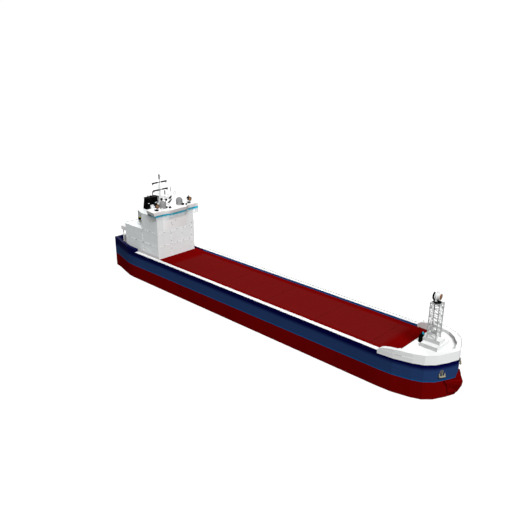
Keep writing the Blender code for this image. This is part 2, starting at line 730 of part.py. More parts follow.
def make_propeller():
    """Four twisted blades on a hub that reaches forward as the shaft, turning about X."""
    hub = rod("propeller", (PROPELLER_X - 0.045, 0, SHAFT_Z), (-3.7803, 0, SHAFT_Z), 0.026, "bronze", 16)
    set_origin(hub, (PROPELLER_X, 0.0, SHAFT_Z))
    blades = []
    for i in range(4):
        sections = []
        # Blade sections: radius, half chord, pitch angle in degrees and half thickness
        for radius, chord, pitch, thick in ((0.018, 0.022, 58, 0.006), (0.065, 0.040, 38, 0.004), (0.108, 0.026, 26, 0.002)):
            lean = math.radians(pitch)
            ring = []
            for u, v in ((-chord, 0), (0, thick), (chord, 0), (0, -thick)):
                across = u * math.cos(lean) - v * math.sin(lean)
                ahead = u * math.sin(lean) + v * math.cos(lean)
                ring.append((ahead, across, radius))
            sections.append(ring)
        blade = lofted("blade_%d" % i, sections, "bronze")
        blade.data.transform(Matrix.Rotation(math.radians(90 * i + 45), 4, "X"))
        blade.location = hub.location
        blades.append(blade)
    combine(hub, blades)


def make_rudder():
    """Balanced rudder on a stock from the tunnel's roof."""
    half = [(-4.150, 0.003), (-4.060, 0.012), (-4.000, 0.016), (-3.985, 0.012), (-3.975, 0.0)]
    blade = extruded("rudder", [mirrored(half)], 0.020, 0.245, "red_bottom")
    stock = rod("rudder_stock", (RUDDER_X, 0, 0.200), (RUDDER_X, 0, 0.2617), 0.012, "red_bottom", 12)
    combine(blade, [stock])
    for piece in (blade, stock):
        set_origin(piece, (RUDDER_X, 0.0, 0.2617))


make_stern()
make_bow()
make_forecastle()
make_sides()
make_cross_decks()
make_covers()
make_deckhouse()
make_wheelhouse()
make_aft_gallery()
make_funnel()
make_radar_mast()
scanner("scanner_lower", POST_X, PEDESTAL_TOP + GAP, 0.130, 36.0, 0.014)
scanner("scanner_upper", ARM_X, ARM_Z + 0.0145, 0.070, 36.0, 0.024)
for radome_row in RADOMES:
    make_radome(*radome_row)
for light_row in LIGHTS:
    make_searchlight(*light_row)
make_foremast()
make_vent_post()
make_anchor("anchor_starboard", -1)
make_anchor("anchor_port", 1)
make_propeller()
make_rudder()
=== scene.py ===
"""Looks of the bulk carrier: paints, plating, glass, masts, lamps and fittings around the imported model.

Metres, +X forward, +Y to port and +Z up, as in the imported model.
"""

import math

import bmesh
import bpy
from mathutils import Matrix, Vector


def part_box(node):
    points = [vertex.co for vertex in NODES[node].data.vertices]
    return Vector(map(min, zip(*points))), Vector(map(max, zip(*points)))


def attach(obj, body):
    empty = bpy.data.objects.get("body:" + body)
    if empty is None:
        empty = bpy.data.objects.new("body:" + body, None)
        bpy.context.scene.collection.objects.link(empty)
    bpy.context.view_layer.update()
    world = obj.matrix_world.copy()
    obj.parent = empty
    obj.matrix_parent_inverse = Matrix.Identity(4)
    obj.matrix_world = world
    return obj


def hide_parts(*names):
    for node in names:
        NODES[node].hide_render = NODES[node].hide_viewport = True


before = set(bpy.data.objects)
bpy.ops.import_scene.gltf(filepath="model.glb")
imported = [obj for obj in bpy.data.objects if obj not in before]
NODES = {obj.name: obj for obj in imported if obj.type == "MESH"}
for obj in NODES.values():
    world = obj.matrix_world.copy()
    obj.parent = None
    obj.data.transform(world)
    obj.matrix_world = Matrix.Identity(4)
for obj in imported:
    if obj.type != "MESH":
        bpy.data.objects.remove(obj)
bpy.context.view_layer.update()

# Directions
UP = (0, 0, 1)
AHEAD = (1, 0, 0)
ASTERN = (-1, 0, 0)
TO_PORT = (0, 1, 0)
TO_STARBOARD = (0, -1, 0)
SIDES = (-1, 1)

# Camera: place, angles in degrees and focal length in pixels of a 512 pixel wide picture
CAMERA_PLACE = (7.3354, -7.6635, 5.0818)
CAMERA_HEADING = 43.998
CAMERA_DIP = 20.311
FOCAL_PIXELS = 605.0
PICTURE_PIXELS = 512
SENSOR_MM = 36.0

# Lights: azimuth, elevation, brightness of a white sheet square to it, angular size
KEY_LIGHT = (-32.0, 47.0, 1.204, 30.0)
FILL_LIGHT = (135.0, 30.0, 0.50, 60.0)
SKY = 0.15
FLOOR_RADIUS = 290.0
BACKDROP_RADIUS = 295.0

# Levels and faces of the ship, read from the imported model
DECK_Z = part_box("stern_deck")[1].z
SHEER_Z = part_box("cap_rail_port")[1].z
LOWER_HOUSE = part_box("deckhouse_lower")
UPPER_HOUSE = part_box("deckhouse_upper")
HOUSE_FRONT = LOWER_HOUSE[1].x
HOUSE_SIDE = LOWER_HOUSE[1].y
HOUSE_AFT = LOWER_HOUSE[0].x
LOWER_TOP = LOWER_HOUSE[1].z
BRIDGE_AFT = UPPER_HOUSE[0].x
BRIDGE_TOP = UPPER_HOUSE[1].z
ROOF_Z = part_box("mast_house")[1].z
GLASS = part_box("wheelhouse_glass")
GLASS_LOW = GLASS[0].z
GLASS_HIGH = GLASS[1].z
FOREDECK_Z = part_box("mast_base")[0].z

# Colours, as linear red, green and blue
RED = (0.143, 0.0012, 0.0012)
WORN_RED = (0.138, 0.0059, 0.0059)
# Brighter red for upright faces of decks and covers: painted light that offsets their shade
SIDE_LIT_RED = (0.30, 0.0060, 0.0060)
NAVY = (0.0150, 0.0380, 0.1200)
# Near-black navy from the top strake up; on the bulwarks' caps it is painted shade on faces that take the
# most light
NAVY_TOP_AND_CAP_SHADE = (0.0004, 0.0006, 0.0420)
LINE_BLUE = (0.0010, 0.0640, 0.2000)
INNER_BLUE = (0.0012, 0.0800, 0.2800)
WHITE = (0.79, 0.80, 0.80)
BLACK = (0.0012, 0.0012, 0.0013)
# Painted shade on the aft-facing inner sides of the bow's bulwark
BULWARK_SHADE_GREY = (0.260, 0.260, 0.262)
# Painted shade on the side-facing walls of the foremast's foot
PLINTH_SHADE_GREYS = ((0.52, 0.52, 0.525), (0.58, 0.58, 0.585))
RUST = (0.20, 0.13, 0.07)
TEAL_GLASS = "30c8e6"
# Pale lower part of the glass: a painted reflection
GLASS_REFLECTION_PALE = "ecfcff"
BROWN_GLASS = "8f6a4c"

# Topsides: top of the line above the bottom paint, and the fade to near-black navy over the top strake and
# up, which on the bulwarks' caps is painted shade
LINE_TOP = 0.318
STRAKE_FOOT = 0.470
STRAKE_TOP = 0.530
# Where the bright inner faces of the sides begin, ahead of the house
INNER_START = -2.21
# Worn middle of the deck: fades across, aft and fore
WORN_EDGE = (0.445, 0.405)
WORN_AFT = (-2.08, -1.98)
WORN_FORE = (3.06, 2.94)
# Closeness of a tread's raised lozenges, in radians per metre
TREAD_RATE = 260.0
# Heights of the paint's fine grain, as factors of a noise
ORANGE_PEEL = 0.00006
DECK_GRAIN = 0.00008


# Materials

def srgb(code):
    """Linear colour of a six-digit screen colour."""
    parts = [int(code[i:i + 2], 16) / 255.0 for i in (0, 2, 4)]
    return tuple(c / 12.92 if c <= 0.04045 else ((c + 0.055) / 1.055) ** 2.4 for c in parts)


def scaled(colour, factor):
    return tuple(min(c * factor, 1.0) for c in colour)


class Graph:
    """A material's nodes around its Principled shader."""

    def __init__(self, name, colour, roughness, metallic=0.0, shine=0.5):
        self.material = bpy.data.materials.new(name)
        self.material.use_nodes = True
        self.tree = self.material.node_tree
        self.shader = self.tree.nodes["Principled BSDF"]
        self.shader.inputs["Specular IOR Level"].default_value = shine
        self.shader.inputs["Base Color"].default_value = (*colour, 1.0)
        self.shader.inputs["Roughness"].default_value = roughness
        self.shader.inputs["Metallic"].default_value = metallic
        self.place = self.tree.nodes.new("ShaderNodeTexCoord").outputs["Object"]

    def feed(self, socket, value):
        if isinstance(value, bpy.types.NodeSocket):
            self.tree.links.new(value, socket)
        elif socket.type == "RGBA":
            socket.default_value = (*value, 1.0)
        else:
            socket.default_value = value

    def math(self, operation, a, b=0.0):
        node = self.tree.nodes.new("ShaderNodeMath")
        node.operation = operation
        self.feed(node.inputs[0], a)
        self.feed(node.inputs[1], b)
        return node.outputs[0]

    def times(self, a, b):
        return self.math("MULTIPLY", a, b)

    def noise(self, scale, detail=2.0, stretch=(1.0, 1.0, 1.0)):
        mapping = self.tree.nodes.new("ShaderNodeMapping")
        mapping.inputs["Scale"].default_value = stretch
        self.feed(mapping.inputs["Vector"], self.place)
        node = self.tree.nodes.new("ShaderNodeTexNoise")
        node.inputs["Scale"].default_value = scale
        node.inputs["Detail"].default_value = detail
        self.feed(node.inputs["Vector"], mapping.outputs[0])
        return node.outputs["Fac"]

    def span(self, value, low, high, to_low=0.0, to_high=1.0):
        node = self.tree.nodes.new("ShaderNodeMapRange")
        for socket, given in zip(node.inputs, (value, low, high, to_low, to_high)):
            self.feed(socket, given)
        return node.outputs[0]

    def mix(self, factor, a, b):
        node = self.tree.nodes.new("ShaderNodeMix")
        node.data_type = "RGBA"
        self.feed(node.inputs["Factor"], factor)
        self.feed([s for s in node.inputs if s.name == "A" and s.type == "RGBA"][0], a)
        self.feed([s for s in node.inputs if s.name == "B" and s.type == "RGBA"][0], b)
        return [s for s in node.outputs if s.type == "RGBA"][0]

    def mottle(self, a, b, scale=2.1, detail=3.0, low=0.35, high=0.65):
        """Soft patches of two colours."""
        return self.mix(self.span(self.noise(scale, detail), low, high), a, b)

    def split(self, vector):
        """The three parts of a vector."""
        node = self.tree.nodes.new("ShaderNodeSeparateXYZ")
        self.feed(node.inputs[0], vector)
        return node.outputs

    def axes(self):
        return self.split(self.place)

    def normals(self):
        return self.split(self.tree.nodes.new("ShaderNodeNewGeometry").outputs["True Normal"])

    def upright(self):
        """1 on walls, 0 on decks and roofs."""
        return self.math("LESS_THAN", self.math("ABSOLUTE", self.normals()[2]), 0.7)

    def seams(self, u, v, length, height, width):
        """Mask of the lines between plates of a length and height, in the u and v directions."""
        join = self.tree.nodes.new("ShaderNodeCombineXYZ")
        self.feed(join.inputs[0], u)
        self.feed(join.inputs[1], v)
        node = self.tree.nodes.new("ShaderNodeTexBrick")
        node.offset = 0.5
        node.inputs["Scale"].default_value = 1.0
        node.inputs["Mortar Size"].default_value = width
        node.inputs["Mortar Smooth"].default_value = 0.3
        node.inputs["Brick Width"].default_value = length
        node.inputs["Row Height"].default_value = height
        self.feed(node.inputs["Vector"], join.outputs[0])
        return node.outputs["Fac"]

    def colour(self, socket):
        self.feed(self.shader.inputs["Base Color"], socket)

    def bump(self, height):
        node = self.tree.nodes.new("ShaderNodeBump")
        node.inputs["Distance"].default_value = 1.0
        self.feed(node.inputs["Height"], height)
        self.feed(self.shader.inputs["Normal"], node.outputs[0])


def painted(name, colour, roughness, vary, runs, shine=0.15, plates=None):
    """Brushed or sprayed paint: uneven tone, faint runs, orange peel, and weld seams where plates are given.

    Plates are the seams' direction, their length, height, width and depth.
    """
    graph = Graph(name, colour, roughness, shine=shine)
    shade = graph.mottle(scaled(colour, 1.0 - vary), scaled(colour, 1.0 + vary))
    streaks = graph.span(graph.noise(1.0, 4.0, (17.0, 17.0, 0.8)), 0.52, 0.80, 0.0, runs)
    shade = graph.mix(streaks, shade, scaled(colour, 0.45))
    height = graph.times(graph.noise(240.0), ORANGE_PEEL)
    if plates:
        way, length, row, width, depth = plates
        x, y, z = graph.axes()
        if way == "wall":
            seam = graph.times(graph.seams(graph.math("ADD", x, y), z, length, row, width), graph.upright())
        else:
            seam = graph.seams(x, z, length, row, width)
        shade = graph.mix(graph.times(seam, 0.35), shade, scaled(colour, 0.5))
        height = graph.math("SUBTRACT", height, graph.times(seam, depth))
    graph.colour(shade)
    rough = graph.span(graph.noise(35.0, 3.0), 0.3, 0.7, roughness - 0.06, roughness + 0.06)
    graph.feed(graph.shader.inputs["Roughness"], rough)
    graph.bump(height)
    return graph.material


def topside_paint(name):
    """Navy with a brighter line above the bottom paint, near-black from the top strake up, painted shade on
    the bulwarks' caps, and bright inner faces.
    """
    graph = Graph(name, NAVY, 0.60, shine=0.03)
    x, y, z = graph.axes()
    shade = graph.mottle(scaled(NAVY, 0.96), scaled(NAVY, 1.04))
    # Near-black above the strake's foot: painted shade on the bulwarks' caps
    shade = graph.mix(graph.span(z, STRAKE_FOOT, STRAKE_TOP), shade, NAVY_TOP_AND_CAP_SHADE)
    shade = graph.mix(graph.span(z, LINE_TOP, LINE_TOP - 0.004), shade, LINE_BLUE)
    seam = graph.seams(x, z, 0.70, 0.105, 0.0020)
    shade = graph.mix(graph.times(seam, 0.25), shade, scaled(NAVY, 0.4))
    inner = graph.math("LESS_THAN", graph.times(graph.normals()[1], y), -0.30)
    inner = graph.times(inner, graph.math("GREATER_THAN", x, INNER_START))
    graph.colour(graph.mix(inner, shade, INNER_BLUE))
    graph.bump(graph.times(seam, -0.0004))
    return graph.material


def deck_paint(name, tread):
    """Red deck paint, duller in the middle, with painted light on the plates' upright edges, a brighter red
    that offsets their shade; raised lozenges on a tread.
    """
    graph = Graph(name, RED, 0.80, shine=0.0)
    x, y, _ = graph.axes()
    shade = graph.mottle(scaled(RED, 0.93), scaled(RED, 1.07), 3.0, 4.0)
    # Painted light: brighter red on upright faces, offsetting their shade
    shade = graph.mix(graph.upright(), shade, SIDE_LIT_RED)
    inboard = graph.span(graph.math("ABSOLUTE", y), *WORN_EDGE)
    ahead = graph.times(graph.span(x, *WORN_AFT), graph.span(x, *WORN_FORE))
    shade = graph.mix(graph.times(inboard, ahead), shade, WORN_RED)
    height = graph.times(graph.noise(300.0), DECK_GRAIN)
    if tread:
        slants = [graph.math(way, x, y) for way in ("ADD", "SUBTRACT")]
        waves = [graph.math("SINE", graph.times(slant, TREAD_RATE)) for slant in slants]
        lozenge = graph.span(graph.times(*waves), 0.45, 0.7)
        height = graph.math("ADD", height, graph.times(lozenge, 0.0008))
        shade = graph.mix(graph.times(lozenge, 0.25), shade, scaled(RED, 1.6))
    graph.colour(shade)
    graph.bump(height)
    return graph.material


def band_paint(name):
    """White outside, with painted shade on the aft-facing inner sides of the bulwark: darker grey the more
    they face aft, towards the stem.
    """
    graph = Graph(name, WHITE, 0.45, shine=0.15)
    # Painted shade: grey grows as the inner walls turn aft, away from the key light
    aft = graph.times(graph.span(graph.normals()[0], -0.10, -0.80), graph.upright())
    white = graph.mottle(scaled(WHITE, 0.985), scaled(WHITE, 1.015))
    graph.colour(graph.mix(aft, white, BULWARK_SHADE_GREY))
    graph.bump(graph.times(graph.noise(240.0), ORANGE_PEEL))
    return graph.material


def plinth_paint(name):
    """White, with painted shade: grey on the walls that face the ship's sides, as on the foremast's stepped
    foot.
    """
    graph = Graph(name, WHITE, 0.5, shine=0.15)
    top = graph.mottle(scaled(WHITE, 0.97), scaled(WHITE, 1.02), 9.0, 3.0, 0.3, 0.7)
    # Painted shade: grey on walls that face the ship's sides
    wall = graph.mottle(*PLINTH_SHADE_GREYS, 9.0, 3.0, 0.3, 0.7)
    side = graph.span(graph.math("ABSOLUTE", graph.normals()[1]), 0.5, 0.8)
    graph.colour(graph.mix(side, top, wall))
    graph.bump(graph.times(graph.noise(240.0), ORANGE_PEEL))
    return graph.material


def window_glass(name):
    """Blue-green tinted panes: deep teal in the upper half, and below it a pale painted reflection of the
    sky.
    """
    graph = Graph(name, srgb(TEAL_GLASS), 0.06)
    wave = graph.span(graph.noise(6.0, 2.0, (1.0, 1.0, 0.2)), 0.3, 0.7, -0.010, 0.010)
    line = graph.math("ADD", graph.axes()[2], wave)
    level = (GLASS_LOW + GLASS_HIGH) / 2
    # Painted reflection: pale below the middle of the band
    share = graph.span(line, level - 0.018, level - 0.004)
    graph.colour(graph.mix(share, srgb(GLASS_REFLECTION_PALE), srgb(TEAL_GLASS)))
    graph.shader.inputs["Coat Weight"].default_value = 0.5
    return graph.material


def lens_glass(name):
    """Bronze-brown lamp glass with fine ribs."""
    brown = srgb(BROWN_GLASS)
    graph = Graph(name, brown, 0.12)
    graph.bump(graph.times(graph.math("SINE", graph.times(graph.axes()[1], 900.0)), 0.0002))
    graph.colour(graph.mottle(scaled(brown, 0.75), scaled(brown, 1.25), 25.0, 2.0))
    graph.shader.inputs["Coat Weight"].default_value = 0.6
    return graph.material


def bare_metal(name, colour, roughness):
    """Metal with fine turning marks and uneven shine."""
    graph = Graph(name, colour, roughness, 1.0)
    tone = graph.span(graph.noise(60.0, 4.0, (1.0, 1.0, 6.0)), 0.35, 0.65)
    graph.colour(graph.mix(tone, scaled(colour, 0.8), scaled(colour, 1.15)))
    rough = graph.span(tone, 0.0, 1.0, roughness - 0.08, roughness + 0.1)
    graph.feed(graph.shader.inputs["Roughness"], rough)
    graph.bump(graph.times(graph.noise(400.0), 0.00003))
    return graph.material


def rough_iron(name, colour):
    """Weathered cast iron, pitted, with faint rust."""
    graph = Graph(name, colour, 0.7, 0.2)
    graph.colour(graph.mottle(colour, RUST, 45.0, 5.0, 0.50, 0.70))
    graph.bump(graph.times(graph.noise(320.0, 4.0), 0.0006))
    return graph.material


BOTTOM_PLATES = ("side", 0.84, 0.146, 0.0020, 0.0004)
HOUSE_PLATES = ("wall", 0.56, 0.135, 0.0015, 0.0003)
# White of the house walls with less red: a painted offset of the red light that the deck bounces onto them
HOUSE_WHITE_BOUNCE_OFFSET = (0.770, 0.800, 0.803)

# Surfaces: short name, the record's slot and the material
SURFACES = [
    ("bottom", "red_bottom", painted("antifouling_red", RED, 0.70, 0.05, 0.12, 0.0, BOTTOM_PLATES)),
    ("navy", "navy", topside_paint("topside_navy")),
    ("deck", "red_deck", deck_paint("deck_red", False)),
    ("tread", "red_deck", deck_paint("deck_tread", True)),
    ("white", "white", painted("house_white", HOUSE_WHITE_BOUNCE_OFFSET, 0.45, 0.015, 0.02, plates=HOUSE_PLATES)),
    ("band", "white", band_paint("bow_band_white")),
    ("plinth", "white", plinth_paint("plinth_white_shaded_sides")),
    ("glass", "window", window_glass("window_glass")),
    ("lens", "bronze", lens_glass("lens_glass")),
    ("iron", "anchor", rough_iron("anchor_iron", (0.32, 0.31, 0.21))),
    ("bronze", "bronze", bare_metal("propeller_bronze", (0.60, 0.38, 0.14), 0.28)),
    ("steel", "grey", bare_metal("steel", (0.50, 0.50, 0.50), 0.35)),
]
# Plain paints: short name, slot, material's name, colour, roughness, unevenness, runs and shine
PLAIN_PAINTS = (
    ("ledge", "navy", "ledge_blue", INNER_BLUE, 0.60, 0.040, 0.00, 0.03),
    ("trim", "white", "trim_white", WHITE, 0.40, 0.015, 0.02, 0.15),
    # Brighter white for the roof and its outward-leaning fascias: painted light that offsets their shade
    ("roof", "white", "roof_white", (0.95, 0.945, 0.94), 0.40, 0.010, 0.01, 0.15),
    # Brighter white for the fairing under the bay: painted light that offsets the shade of its downward slope
    ("fair", "white", "fairing_white", (0.92, 0.93, 0.93), 0.45, 0.010, 0.00, 0.15),
    ("bolt", "white", "bolt_white", (0.97, 0.97, 0.97), 0.40, 0.000, 0.00, 0.15),
    # Grey of the darker band bolts, and of the painted shadow dashes under the wing
    ("fade", "white", "bolt_grey", (0.42, 0.42, 0.42), 0.50, 0.050, 0.00, 0.15),
    ("spot", "grey", "bolt_dark", (0.10, 0.10, 0.10), 0.60, 0.050, 0.00, 0.15),
    ("lattice", "white", "lattice_grey", (0.40, 0.41, 0.41), 0.45, 0.040, 0.05, 0.15),
    # Grey dashes along outer edges: painted shade lines of those edges
    ("edge", "grey", "edge_grey", (0.24, 0.25, 0.25), 0.60, 0.050, 0.00, 0.15),
    ("grey", "grey", "radome_grey", (0.24, 0.24, 0.245), 0.50, 0.030, 0.04, 0.15),
    ("black", "black", "satin_black", BLACK, 0.60, 0.200, 0.00, 0.03),
    ("amber", "window", "amber_lens", srgb("d8d800"), 0.30, 0.100, 0.00, 0.15),
    ("teal", "window", "teal_paint", srgb("1c9dbc"), 0.40, 0.050, 0.00, 0.15),
)
SURFACES += [(key, slot, painted(*look)) for key, slot, *look in PLAIN_PAINTS]
PAINTS = {key: material for key, slot, material in SURFACES}

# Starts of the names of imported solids, by their paint
PAINTED_NODES = {
    "bottom": "lower_stern lower_bow double_bottom lower_shell_starboard lower_shell_port rudder",
    "navy": "upper_stern upper_bow upper_shell_starboard upper_shell_port",
    "ledge": "ledge_starboard ledge_port",
    "tread": "stern_deck fore_deck cross_deck_",
    "deck": "cover_",
    "band": "forecastle",
    "white": "deckhouse_lower deckhouse_upper mast_house wheelhouse_walls",
    "trim": "cap_rail_starboard cap_rail_port aft_gallery radar_mast",
    "glass": "wheelhouse_glass",
    "roof": "wheelhouse_roof",
    "black": "funnel upper_yard lower_yard vent_post scanner_lower scanner_upper searchlight_",
    "grey": "radome_starboard radome_port",
    "plinth": "mast_base",
    "lattice": "foremast",
    "iron": "anchor_starboard anchor_port",
    "bronze": "propeller",
}


def paint_nodes():
    for name, node in NODES.items():
        paint = [key for key, starts in PAINTED_NODES.items() if name.startswith(tuple(starts.split()))][0]
        node.data.materials.clear()
        node.data.materials.append(PAINTS[paint])


# Shapes

# Distance between the rungs of every ladder
RUNG_PITCH = 0.030


def rise(height):
    return Vector((0, 0, height))


def middle(node):
    low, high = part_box(node)
    return (low + high) / 2


def facing(direction):
    """Turn that takes +Z to a direction."""
    return Vector(UP).rotation_difference(Vector(direction)).to_matrix().to_4x4()


def spokes(count):
    """Cosine and sine of even steps round a circle."""
    return [(math.cos(2 * math.pi * k / count), math.sin(2 * math.pi * k / count)) for k in range(count)]


def arc(centre, radius, start, end, steps):
    """Points of an arc in two directions, angles in degrees."""
    turns = [math.radians(start + (end - start) * i / steps) for i in range(steps + 1)]
    return [(centre[0] + radius * math.cos(turn), centre[1] + radius * math.sin(turn)) for turn in turns]


def link_mesh(name, bm, material):
    """Object in the scene from a gathered mesh."""
    mesh = bpy.data.meshes.new(name)
    bm.to_mesh(mesh)
    bm.free()
    mesh.materials.append(material)
    item = bpy.data.objects.new(name, mesh)
    bpy.context.scene.collection.objects.link(item)
    return item


class Shape:
    """Closed solids gathered into one mesh."""

    def __init__(self):
        self.bm = bmesh.new()

    def box(self, low, high, turn=None):
        """Box between two corners, turned about its middle where a turn is given."""
        low = Vector(low)
        high = Vector(high)
        made = bmesh.ops.create_cube(self.bm, size=1.0)["verts"]
        bmesh.ops.scale(self.bm, vec=high - low, verts=made)
        bmesh.ops.translate(self.bm, vec=(low + high) / 2, verts=made)
        if turn is not None:
            bmesh.ops.rotate(self.bm, cent=(low + high) / 2, matrix=turn.to_3x3(), verts=made)

    def post(self, x, y, low, high, half_x, half_y):
        """Box that stands on a place between two levels."""
        self.box((x - half_x, y - half_y, low), (x + half_x, y + half_y, high))

    def rod(self, start, end, radius, sides=12, end_radius=None):
        start = Vector(start)
        end = Vector(end)
        place = Matrix.Translation((start + end) / 2) @ facing(end - start)
        bmesh.ops.create_cone(
            self.bm, cap_ends=True, segments=sides, radius1=radius,
            radius2=radius if end_radius is None else end_radius, depth=(end - start).length, matrix=place)

    def pole(self, x, y, low, high, radius, sides=8, end_radius=None):
        """Rod that stands on a place between two levels."""
        self.rod((x, y, low), (x, y, high), radius, sides, end_radius)

    def ball(self, centre, radius, steps):
        place = Matrix.Translation(centre)
        bmesh.ops.create_uvsphere(
            self.bm, u_segments=steps, v_segments=steps // 2, radius=radius, matrix=place)

    def bridge(self, rings, closed=False):
        """Quads between rings of points, with the first and last ring capped unless the rings close up."""
        made = [[self.bm.verts.new(point) for point in ring] for ring in rings]
        pairs = list(zip(made, made[1:]))
        if closed:
            pairs.append((made[-1], made[0]))
        for near, far in pairs:
            for i in range(len(near)):
                j = (i + 1) % len(near)
                self.bm.faces.new((near[i], near[j], far[j], far[i]))
        if not closed:
            self.bm.faces.new(made[0][::-1])
            self.bm.faces.new(made[-1])

    def tube(self, points, radius, sides=8, closed=False):
        """Round bar along a line of points."""
        points = [Vector(p) for p in points]
        count = len(points)
        rings = []
        side = None
        for i, point in enumerate(points):
            before = points[i - 1] if i or closed else point
            after = points[(i + 1) % count] if i < count - 1 or closed else point
            along = (after - before).normalized()
            if side is None:
                side = along.orthogonal().normalized()
            side = (side - along * side.dot(along)).normalized()
            other = along.cross(side)
            rings.append([point + (side * c + other * s) * radius for c, s in spokes(sides)])
        self.bridge(rings, closed)

    def ring(self, centre, normal, radius, thick, steps=24, sides=8):
        place = Matrix.Translation(centre) @ facing(normal)
        self.tube([place @ Vector((radius * c, radius * s, 0)) for c, s in spokes(steps)], thick, sides, True)

    def turned(self, base, axis, profile, steps=24):
        """Solid of revolution: profile of (distance along the axis, radius), from the base."""
        place = Matrix.Translation(base) @ facing(axis)
        self.bridge([
            [place @ Vector((radius * c, radius * s, along)) for c, s in spokes(steps)]
            for along, radius in profile])

    def bolts(self, centre, reach, count, height, radius):
        """Upright bolts on a circle; reach is the circle's radius."""
        for c, s in spokes(count):
            spot = Vector(centre) + Vector((reach * c, reach * s, 0))
            self.rod(spot, spot + rise(height), radius, 6)

    def rungs(self, first, across, count, radius):
        """Rungs of a ladder, from the middle of the first one to half a width on each side."""
        for i in range(count):
            spot = Vector(first) + rise(RUNG_PITCH * i)
            self.rod(spot - across, spot + across, radius, 6)

    def finish(self, name, paint, body="hull", replaces=(), sharp=35.0):
        """One object of the ship from what was gathered."""
        bmesh.ops.recalc_face_normals(self.bm, faces=self.bm.faces)
        piece = link_mesh(name, self.bm, PAINTS[paint])
        piece.data.shade_smooth()
        piece.data.set_sharp_from_angle(angle=math.radians(sharp))
        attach(piece, body)
        if replaces:
            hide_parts(*replaces)


# Stage, lights and camera

def make_stage():
    """Floor at the keel and a backdrop all round, both self-lit and unseen by the ship's own surfaces."""
    disc = bmesh.new()
    bmesh.ops.create_circle(disc, cap_ends=True, segments=96, radius=FLOOR_RADIUS)
    bmesh.ops.translate(disc, vec=(0, 0, -0.002), verts=disc.verts)
    ball = bmesh.new()
    bmesh.ops.create_uvsphere(ball, u_segments=48, v_segments=24, radius=BACKDROP_RADIUS)
    # Stage pieces: name, mesh, material's name, grey, glow and whether it casts shadows
    for name, bm, look, grey, glow, casts in (
            ("floor", disc, "floor_pale", 0.35, 0.70, True),
            ("backdrop", ball, "backdrop_white", 0.0, 1.05, False)):
        pale = Graph(look, (grey, grey, grey), 1.0, shine=0.0)
        pale.shader.inputs["Emission Color"].default_value = (1.0, 1.0, 1.0, 1.0)
        pale.shader.inputs["Emission Strength"].default_value = glow
        item = link_mesh(name, bm, pale.material)
        item.visible_diffuse = False
        item.visible_glossy = False
        item.visible_transmission = False
        item.visible_shadow = casts


def make_light(name, azimuth, elevation, brightness, size):
    turn = math.radians(azimuth)
    lift = math.radians(elevation)
    toward = Vector((math.cos(turn) * math.cos(lift), math.sin(turn) * math.cos(lift), math.sin(lift)))
    light = bpy.data.lights.new(name, "SUN")
    light.energy = math.pi * brightness
    light.angle = math.radians(size)
    lamp = bpy.data.objects.new(name, light)
    lamp.rotation_mode = "QUATERNION"
    lamp.rotation_quaternion = toward.to_track_quat("Z", "Y")
    lamp.location = toward * 20.0
    bpy.context.scene.collection.objects.link(lamp)


def make_camera():
    camera = bpy.data.cameras.new("camera")
    camera.sensor_width = SENSOR_MM
    camera.lens = FOCAL_PIXELS / PICTURE_PIXELS * SENSOR_MM
    camera.clip_end = 1000.0
    holder = bpy.data.objects.new("camera", camera)
    holder.location = CAMERA_PLACE
    holder.rotation_euler = (math.radians(90.0 - CAMERA_DIP), 0.0, math.radians(CAMERA_HEADING))
    bpy.context.scene.collection.objects.link(holder)
    bpy.context.scene.camera = holder


def make_world():
    world = bpy.data.worlds.new("studio")
    world.use_nodes = True
    world.node_tree.nodes["Background"].inputs["Color"].default_value = (1.0, 1.0, 1.0, 1.0)
    world.node_tree.nodes["Background"].inputs["Strength"].default_value = SKY
    bpy.context.scene.world = world
    bpy.context.scene.view_settings.view_transform = "Standard"


# Deckhouse: seams, doors, portholes, side lamp and rails

# Aft corners of the house's sides, its aft wall's half breadth, and places of seams on its walls
CORNER_X = -3.600
AFT_HALF = 0.450
SEAM_Z = 0.8485
SIDE_SEAM_X = -2.980
# Foot of the fairing under the wheelhouse bay, where seams on the front wall end
BAY_FOOT = 1.180
BOLT_PITCH_SIDE = 0.086
BOLT_PITCH_FRONT = 0.057
SEAM_HALF = 0.0016
SEAM_THICK = 0.0008


def seam_runs():
    """Start, end and outward direction of every seam."""
    front = HOUSE_FRONT
    half = HOUSE_SIDE
    runs = [((front, -half, level), (front, half, level), AHEAD) for level in (SEAM_Z, LOWER_TOP)]
    runs.append(((HOUSE_AFT, -AFT_HALF, SEAM_Z), (HOUSE_AFT, AFT_HALF, SEAM_Z), ASTERN))
    for way in SIDES:
        side = way * half
        out = (0, way, 0)
        skew = Vector((AFT_HALF - half, way * (CORNER_X - HOUSE_AFT), 0)).normalized()
        runs += [
            ((front, side, SEAM_Z), (CORNER_X, side, SEAM_Z), out),
            ((CORNER_X, side, SEAM_Z), (HOUSE_AFT, way * AFT_HALF, SEAM_Z), skew),
            ((front, side, LOWER_TOP), (BRIDGE_AFT + 0.24, side, LOWER_TOP), out),
            ((SIDE_SEAM_X, side, DECK_Z), (SIDE_SEAM_X, side, LOWER_TOP), out)]
    # Upright seams of the front wall: place across, foot and head
    for y, low, high in ((-0.1375, DECK_Z, BAY_FOOT), (0.1625, SEAM_Z, BAY_FOOT), (0.425, DECK_Z, LOWER_TOP)):
        runs.append(((front, y, low), (front, y, high), AHEAD))
    return runs


